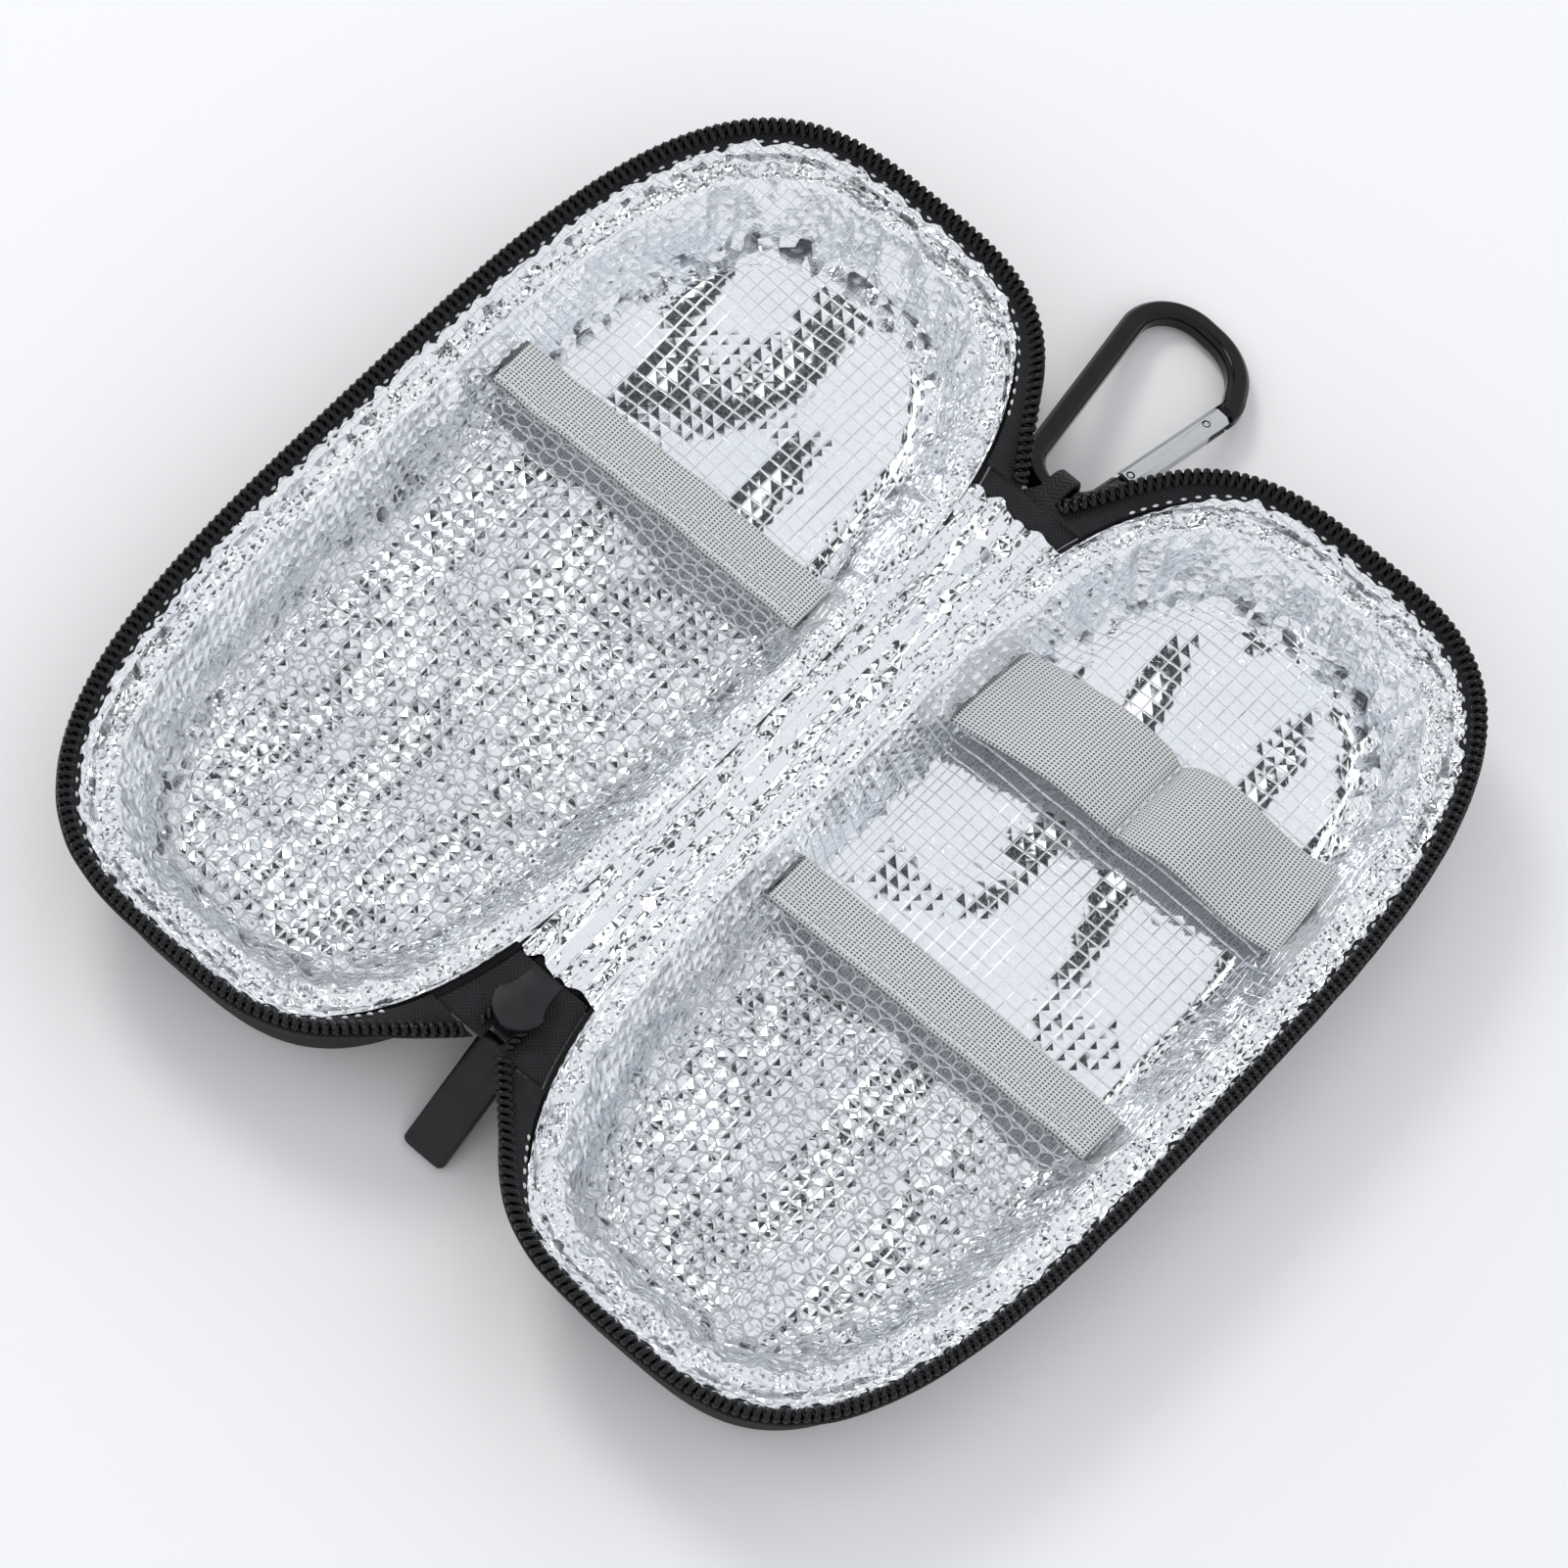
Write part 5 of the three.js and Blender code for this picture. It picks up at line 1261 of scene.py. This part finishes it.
strap_run, strap = webbing_line()
ahead = unit(np.gradient(strap, axis=0))
nothing = np.zeros(len(strap))
strap_width = WEB_WIDTH - 3.6 * ease(strap[:, 0], 70.4, 74.4) + 0.12 * waves(strap_run, nothing, 6.0, 61)
rings, sides = band(np.column_stack([nothing + SPINE_X, strap]),
                    np.column_stack([nothing + 1, nothing, nothing]),
                    np.column_stack([nothing, -ahead[:, 1], ahead[:, 0]]), strap_width, WEB_THICK,
                    edge=0.4, bulge=7)
points, faces = ringed(rings)
make("hook_webbing", points, faces, webbing_weave, "spine", ["webbing_loop"],
     {"lie": section_map(rings, sides, strap_run)})

tack_x = np.linspace(-TACK_HALF, TACK_HALF, 17) + SPINE_X
tack = lambda y: np.stack([tack_x, np.full_like(tack_x, y), np.full_like(tack_x, TACK_Z)], 1)
points, faces = thread_row(tack(TACK_FROM), tack(TACK_TO) + [0.2, 0, 0], [0.0, 0.0, -1.0], 0.5, 0.12)
make("webbing_tack_stitches", points, faces, black_thread, "spine", ["webbing_bar_tack"])
print("webbing strap", round(float(strap_run[-1]), 1), "mm")

# %% [markdown]
# ## Slider
# The slider's plates and wedge come from the CAD, where their shape is right. A die-cast part
# has no sharp edge, so a copy of each mesh is cleaned and its edges are rounded by a bevel. The
# enamel is black with a satin skin, worn lighter in random patches, and has a faint orange peel.


# %% Enamel and rounded copies
def softened(name, node, material, body, radius, segments=3, corner=28.0):
    """A copy of a CAD node: doubled points are merged, flat faces are joined and every edge sharper
    than the corner angle is rounded by a bevel of the given radius in mm."""
    shape = bmesh.new()
    shape.from_mesh(bpy.data.objects[node].data)
    bmesh.ops.remove_doubles(shape, verts=shape.verts, dist=1e-6)
    bmesh.ops.dissolve_limit(shape, angle_limit=np.radians(1.5), verts=shape.verts, edges=shape.edges)
    sharp = [edge for edge in shape.edges
             if edge.is_manifold and edge.calc_face_angle() > np.radians(corner)]
    bmesh.ops.bevel(shape, geom=sharp, offset=radius * 0.001, segments=segments, profile=0.5,
                    affect="EDGES", clamp_overlap=True)
    mesh = bpy.data.meshes.new(name)
    shape.to_mesh(mesh)
    shape.free()
    mesh.polygons.foreach_set("use_smooth", np.ones(len(mesh.polygons), bool))
    mesh.set_sharp_from_angle(angle=np.radians(35.0))
    piece = bpy.data.objects.new(name, mesh)
    bpy.context.collection.objects.link(piece)
    dress(piece, material, body, [node])
    print(name, len(mesh.polygons), "faces")


def peel(name, tone, worn, roughness, grain_mm, depth, level=0.3, metallic=0.0):
    """A coated or moulded skin: a tone with lighter wear in patches, and fine unevenness."""
    material, tree, shader = finish_named(name, Roughness=roughness, IOR=1.5, Specular_IOR_Level=level,
                                          Metallic=metallic)
    place_at = surface_place(tree)
    patches = add(tree, "TexNoise", {"Vector": place_at, "Scale": 220.0, "Detail": 4.0})
    wear = add(tree, "MapRange", {"Value": patches, "From Min": 0.35, "From Max": 0.75})
    grain = add(tree, "TexNoise", {"Vector": place_at, "Scale": 1000.0 / grain_mm, "Detail": 3.0})
    skin(tree, shader, wear, tone, worn, grain, depth)
    return material


enamel = peel("satin_enamel_on_die_cast_zinc_black", "#17171a", "#242428", 0.36, 0.5, 0.015)
softened("slider_plates", "slider_body", enamel, "slider", 0.34)
softened("slider_staple", "slider_bail", enamel, "slider", 0.25)
softened("pull_wire", "pull_link", enamel, "pull", 0.12, segments=2)

# %% [markdown]
# ## Pull tab
# The pull is a bar of moulded plastic with soft edges and a shallow groove that a thumb finds.
# Its section is a rounded rectangle written as a power curve, with a smooth hollow taken out of
# its upper side, and the section draws in over the last millimetre at both ends. It is drawn flat
# and then tipped about the link's pivot until it touches the table.

# %% Tab
TAB_NEAR, TAB_LENGTH, TAB_WIDTH, TAB_THICK, TAB_ROUND = -5.3, 25.0, 9.0, 2.8, 1.2
GROOVE_DEPTH, GROOVE_HALF = 0.62, 1.75
PIVOT = np.array([SPINE_X, -66.0, 19.5])
TAB_FAR = TAB_LENGTH - TAB_NEAR
TAB_SLOPE = np.arcsin(PIVOT[2] / np.hypot(TAB_FAR, TAB_THICK / 2)) - np.arctan2(TAB_THICK / 2, TAB_FAR)


def tipped(points, angle, pivot):
    """Points turned about the X axis and moved to a pivot."""
    x, y, z = points[..., 0], points[..., 1], points[..., 2]
    y, z = y * np.cos(angle) - z * np.sin(angle), y * np.sin(angle) + z * np.cos(angle)
    return np.stack([x, y, z], -1) + pivot


def power_section(half_width, half_thick, count, square_x, square_z):
    """A rounded rectangle: cosine and sine, each raised to two over its own power, sign kept."""
    angle = (np.arange(count) + 0.5) / count * 2 * np.pi
    power = lambda v, n: np.sign(v) * np.abs(v) ** (2 / n)
    return (power(np.cos(angle), square_x)[None] * half_width[:, None],
            power(np.sin(angle), square_z)[None] * half_thick[:, None])


depth_in = TAB_ROUND * (1 - np.cos(np.linspace(0, np.pi / 2, 8)))
along_tab = np.concatenate([depth_in, np.linspace(1.3, TAB_LENGTH - 1.3, 40), TAB_LENGTH - depth_in[::-1]])
from_end = np.minimum(along_tab, TAB_LENGTH - along_tab)
draw_in = TAB_ROUND - np.sqrt(np.maximum(TAB_ROUND ** 2 - np.maximum(TAB_ROUND - from_end, 0) ** 2, 0))
x, z = power_section(TAB_WIDTH / 2 - draw_in, TAB_THICK / 2 - 0.8 * draw_in, 72, 4.5, 3.6)
groove = GROOVE_DEPTH * np.exp(-(x / GROOVE_HALF) ** 2) * ease(from_end, 0.3, 2.6)[:, None]
y = (TAB_NEAR - along_tab)[:, None] * np.ones_like(x)
points, faces = ringed(tipped(np.stack([x, y, z - np.where(z > 0, groove, 0)], -1), TAB_SLOPE, PIVOT))
tab_plastic = peel("moulded_acetal_black", "#17171a", "#232327", 0.34, 0.35, 0.03)
make("pull_grip", points, faces, tab_plastic, "pull", ["pull_tab"])
print("pull slopes", round(float(np.degrees(TAB_SLOPE)), 1), "degrees")

# %% [markdown]
# ## Snap hook
# The hook is an aluminium bar with a flat face on every side, bent round four circles and
# anodised black. Its line is the belt round those circles, left open on the right, where the gate
# goes. The section is a square with cut corners, each corner rounded by a few points, and two
# more points beside each corner keep the faces between them flat under smooth shading.

# %% Hook's belt line
HOOK_BAR, HOOK_FACE = 4.2, 2.3
CIRCLES = [(np.array(middle), radius) for middle, radius in
           (([-1.5, 0.0], 7.5), ([4.0, 33.5], 5.3), ([-4.0, 32.4], 12.9), ([-6.5, 36.7], 8.8))]
HOOK_REACH = CIRCLES[0][1] + CIRCLES[3][0][1] + CIRCLES[3][1]
HOOK_SLOPE = np.arcsin((EYE_Z - np.hypot(HOOK_BAR, HOOK_FACE) / 2) / HOOK_REACH)
GATE_SHARES = (0.12, 0.96)
TONGUE_WIDTH, TONGUE_THICK = 3.4, 1.5


def belt_normal(one, two):
    """The outward normal of the belt's straight run from one circle to the next."""
    along = two[0] - one[0]
    share = (one[1] - two[1]) / np.linalg.norm(along)
    along = unit(along)
    return np.array([along[1], -along[0]]) * np.sqrt(1 - share ** 2) + along * share


gate_normal = belt_normal(*CIRCLES[:2])
gate_foot, gate_head = (middle + gate_normal * radius for middle, radius in CIRCLES[:2])
gate_from, gate_to = (gate_foot + (gate_head - gate_foot) * share for share in GATE_SHARES)
gate_line = unit(gate_head - gate_foot)
gate_side = np.array([gate_line[1], -gate_line[0]])
print("gate", round(float(np.linalg.norm(gate_to - gate_from)), 1), "mm long")


def hook_line():
    """The bar's middle line: round the three far circles and the near one, from gate to gate."""
    corners = [gate_to]
    for k in range(1, len(CIRCLES) + 1):
        before, circle, after = (CIRCLES[j % len(CIRCLES)] for j in (k - 1, k, k + 1))
        start, end = (np.arctan2(*belt_normal(*pair)[::-1]) for pair in ((before, circle), (circle, after)))
        arc = start + np.linspace(0, 1, 26) * ((end - start) % (2 * np.pi))
        corners += list(circle[0] + circle[1] * np.stack([np.cos(arc), np.sin(arc)], 1))
    return np.array(corners + [gate_from])


# %% Section and places on the hook
def bar_section(bar, face, corner=0.32, steps=3):
    """A square with cut corners: an arc at each of its eight corners, and a point beside each arc."""
    side, half = bar / 2, face / 2
    corners = np.array([[side, -half], [side, half], [half, side], [-half, side],
                        [-side, half], [-side, -half], [-half, -side], [half, -side]])
    into, out = (unit(np.roll(corners, step, axis=0) - corners) for step in (1, -1))
    share = np.linspace(0, 1, steps)[None, :, None]
    first, last = (corners + into * corner)[:, None], (corners + out * corner)[:, None]
    bend = (1 - share) ** 2 * first + 2 * share * (1 - share) * corners[:, None] + share ** 2 * last
    sides = [first + into[:, None] * 0.12, bend, last + out[:, None] * 0.12]
    return np.concatenate(sides, axis=1).reshape(-1, 2)


def on_hook(points):
    """From the hook's own flat drawing to its place: tipped down from the webbing's fold."""
    return tipped(points + [0, CIRCLES[0][1], 0], -HOOK_SLOPE, np.array([SPINE_X, EYE_Y, EYE_Z]))


def on_gate(x, y, z):
    """From across, along and over the gate's line to the hook's place."""
    flat = gate_from + y[..., None] * gate_line + x[..., None] * gate_side
    return on_hook(np.concatenate([flat, z[..., None]], -1))


# %% Hook bar
def tongue(low, high):
    """A small bar on the gate's line, which the gate's end straddles."""
    y, shrink = np.array([low, low + 0.25, high - 0.25, high]), np.array([0.25, 0, 0, 0.25])
    x, z = power_section(TONGUE_WIDTH / 2 - shrink, TONGUE_THICK / 2 - shrink, 24, 7, 7)
    return ringed(on_gate(x, y[:, None] * np.ones_like(x), z))


line = hook_line()
path = np.column_stack([line, np.zeros(len(line))])
upright = np.broadcast_to([0.0, 0.0, 1.0], path.shape)
outwards = np.cross(unit(np.gradient(path, axis=0)), upright)
rings = swept(path, outwards, upright, bar_section(HOOK_BAR, HOOK_FACE))
gate_length = np.linalg.norm(gate_to - gate_from)
points, faces = joined([ringed(on_hook(rings)), tongue(-0.6, 4.1),
                        tongue(gate_length - 4.2, gate_length + 0.6)])
anodised = peel("anodised_aluminium_black", "#08090b", "#101114", 0.14, 0.25, 0.004, level=0.24)
make("hook_bar", points, faces, anodised, "hook", ["hook_frame"])
print("hook slopes", round(float(np.degrees(HOOK_SLOPE)), 1), "degrees")

# %% [markdown]
# ## Gate, pins and spring
# The gate is left in bare aluminium, brushed along its length: fine scratches, much longer than
# wide, change its roughness and its height. The scratch map is turned to the gate's own line. The
# pins are the same metal, and the spring in the gate's bore is wound steel wire.

# %% Brushed aluminium
SCRATCH_STRETCH = 0.03
brushed, tree, shader = finish_named("brushed_aluminium", Metallic=1.0, Roughness=0.34)
place_at = surface_place(tree)
across_gate, along_gate = (add(tree, "VectorMath", {0: place_at, 1: (*(float(v) for v in way), 0.0)},
                               operation="DOT_PRODUCT") for way in (gate_side, gate_line * SCRATCH_STRETCH))
over_gate = add(tree, "SeparateXYZ", {0: place_at}).outputs["Z"]
scratch_place = add(tree, "CombineXYZ", {0: across_gate, 1: along_gate, 2: over_gate})
scratches = add(tree, "TexNoise", {"Vector": scratch_place, "Scale": 9000.0, "Detail": 3.0})
skin(tree, shader, scratches, "#a9abae", "#dcddde", scratches, 0.012)
fill(shader, {"Roughness": add(tree, "MapRange", {"Value": scratches, "To Min": 0.26, "To Max": 0.46})})

for name, node, body, radius, corner in (("gate_bar", "hook_gate", "gate", 0.22, 28.0),
                                         ("gate_hinge_pin", "hook_hinge_pin", "hook", 0.12, 40.0),
                                         ("gate_nose_pin", "hook_nose_pin", "gate", 0.12, 40.0)):
    softened(name, node, brushed, body, radius, segments=2, corner=corner)

# %% Spring
SPRING_TURNS, SPRING_RADIUS, WIRE, SPRING_LENGTH = 5, 0.8, 0.2, 8 - 0.8
SPRING_FROM = 2.7 + np.hypot(1.7, 1.4) + 0.3 + 0.4 + 0.3
steel = peel("spring_steel_wire", "#8f9193", "#b4b6b8", 0.3, 0.2, 0.005, metallic=1.0)
turn = np.linspace(0, SPRING_TURNS * 2 * np.pi, SPRING_TURNS * 24 + 1)
rise = SPRING_FROM + turn / turn[-1] * SPRING_LENGTH
out = np.stack([np.cos(turn), np.zeros_like(turn), np.sin(turn)], 1)
rings = tube(SPRING_RADIUS * out + rise[:, None] * [0, 1, 0], out, np.array([0.0, 1.0, 0.0]),
             np.full(len(turn), WIRE), 8)
points, faces = ringed(on_gate(rings[..., 0], rings[..., 1], rings[..., 2]))
make("gate_coil_spring", points, faces, steel, "gate", ["hook_gate_spring"])
print("spring", SPRING_TURNS, "turns of wire", WIRE * 2, "mm thick")
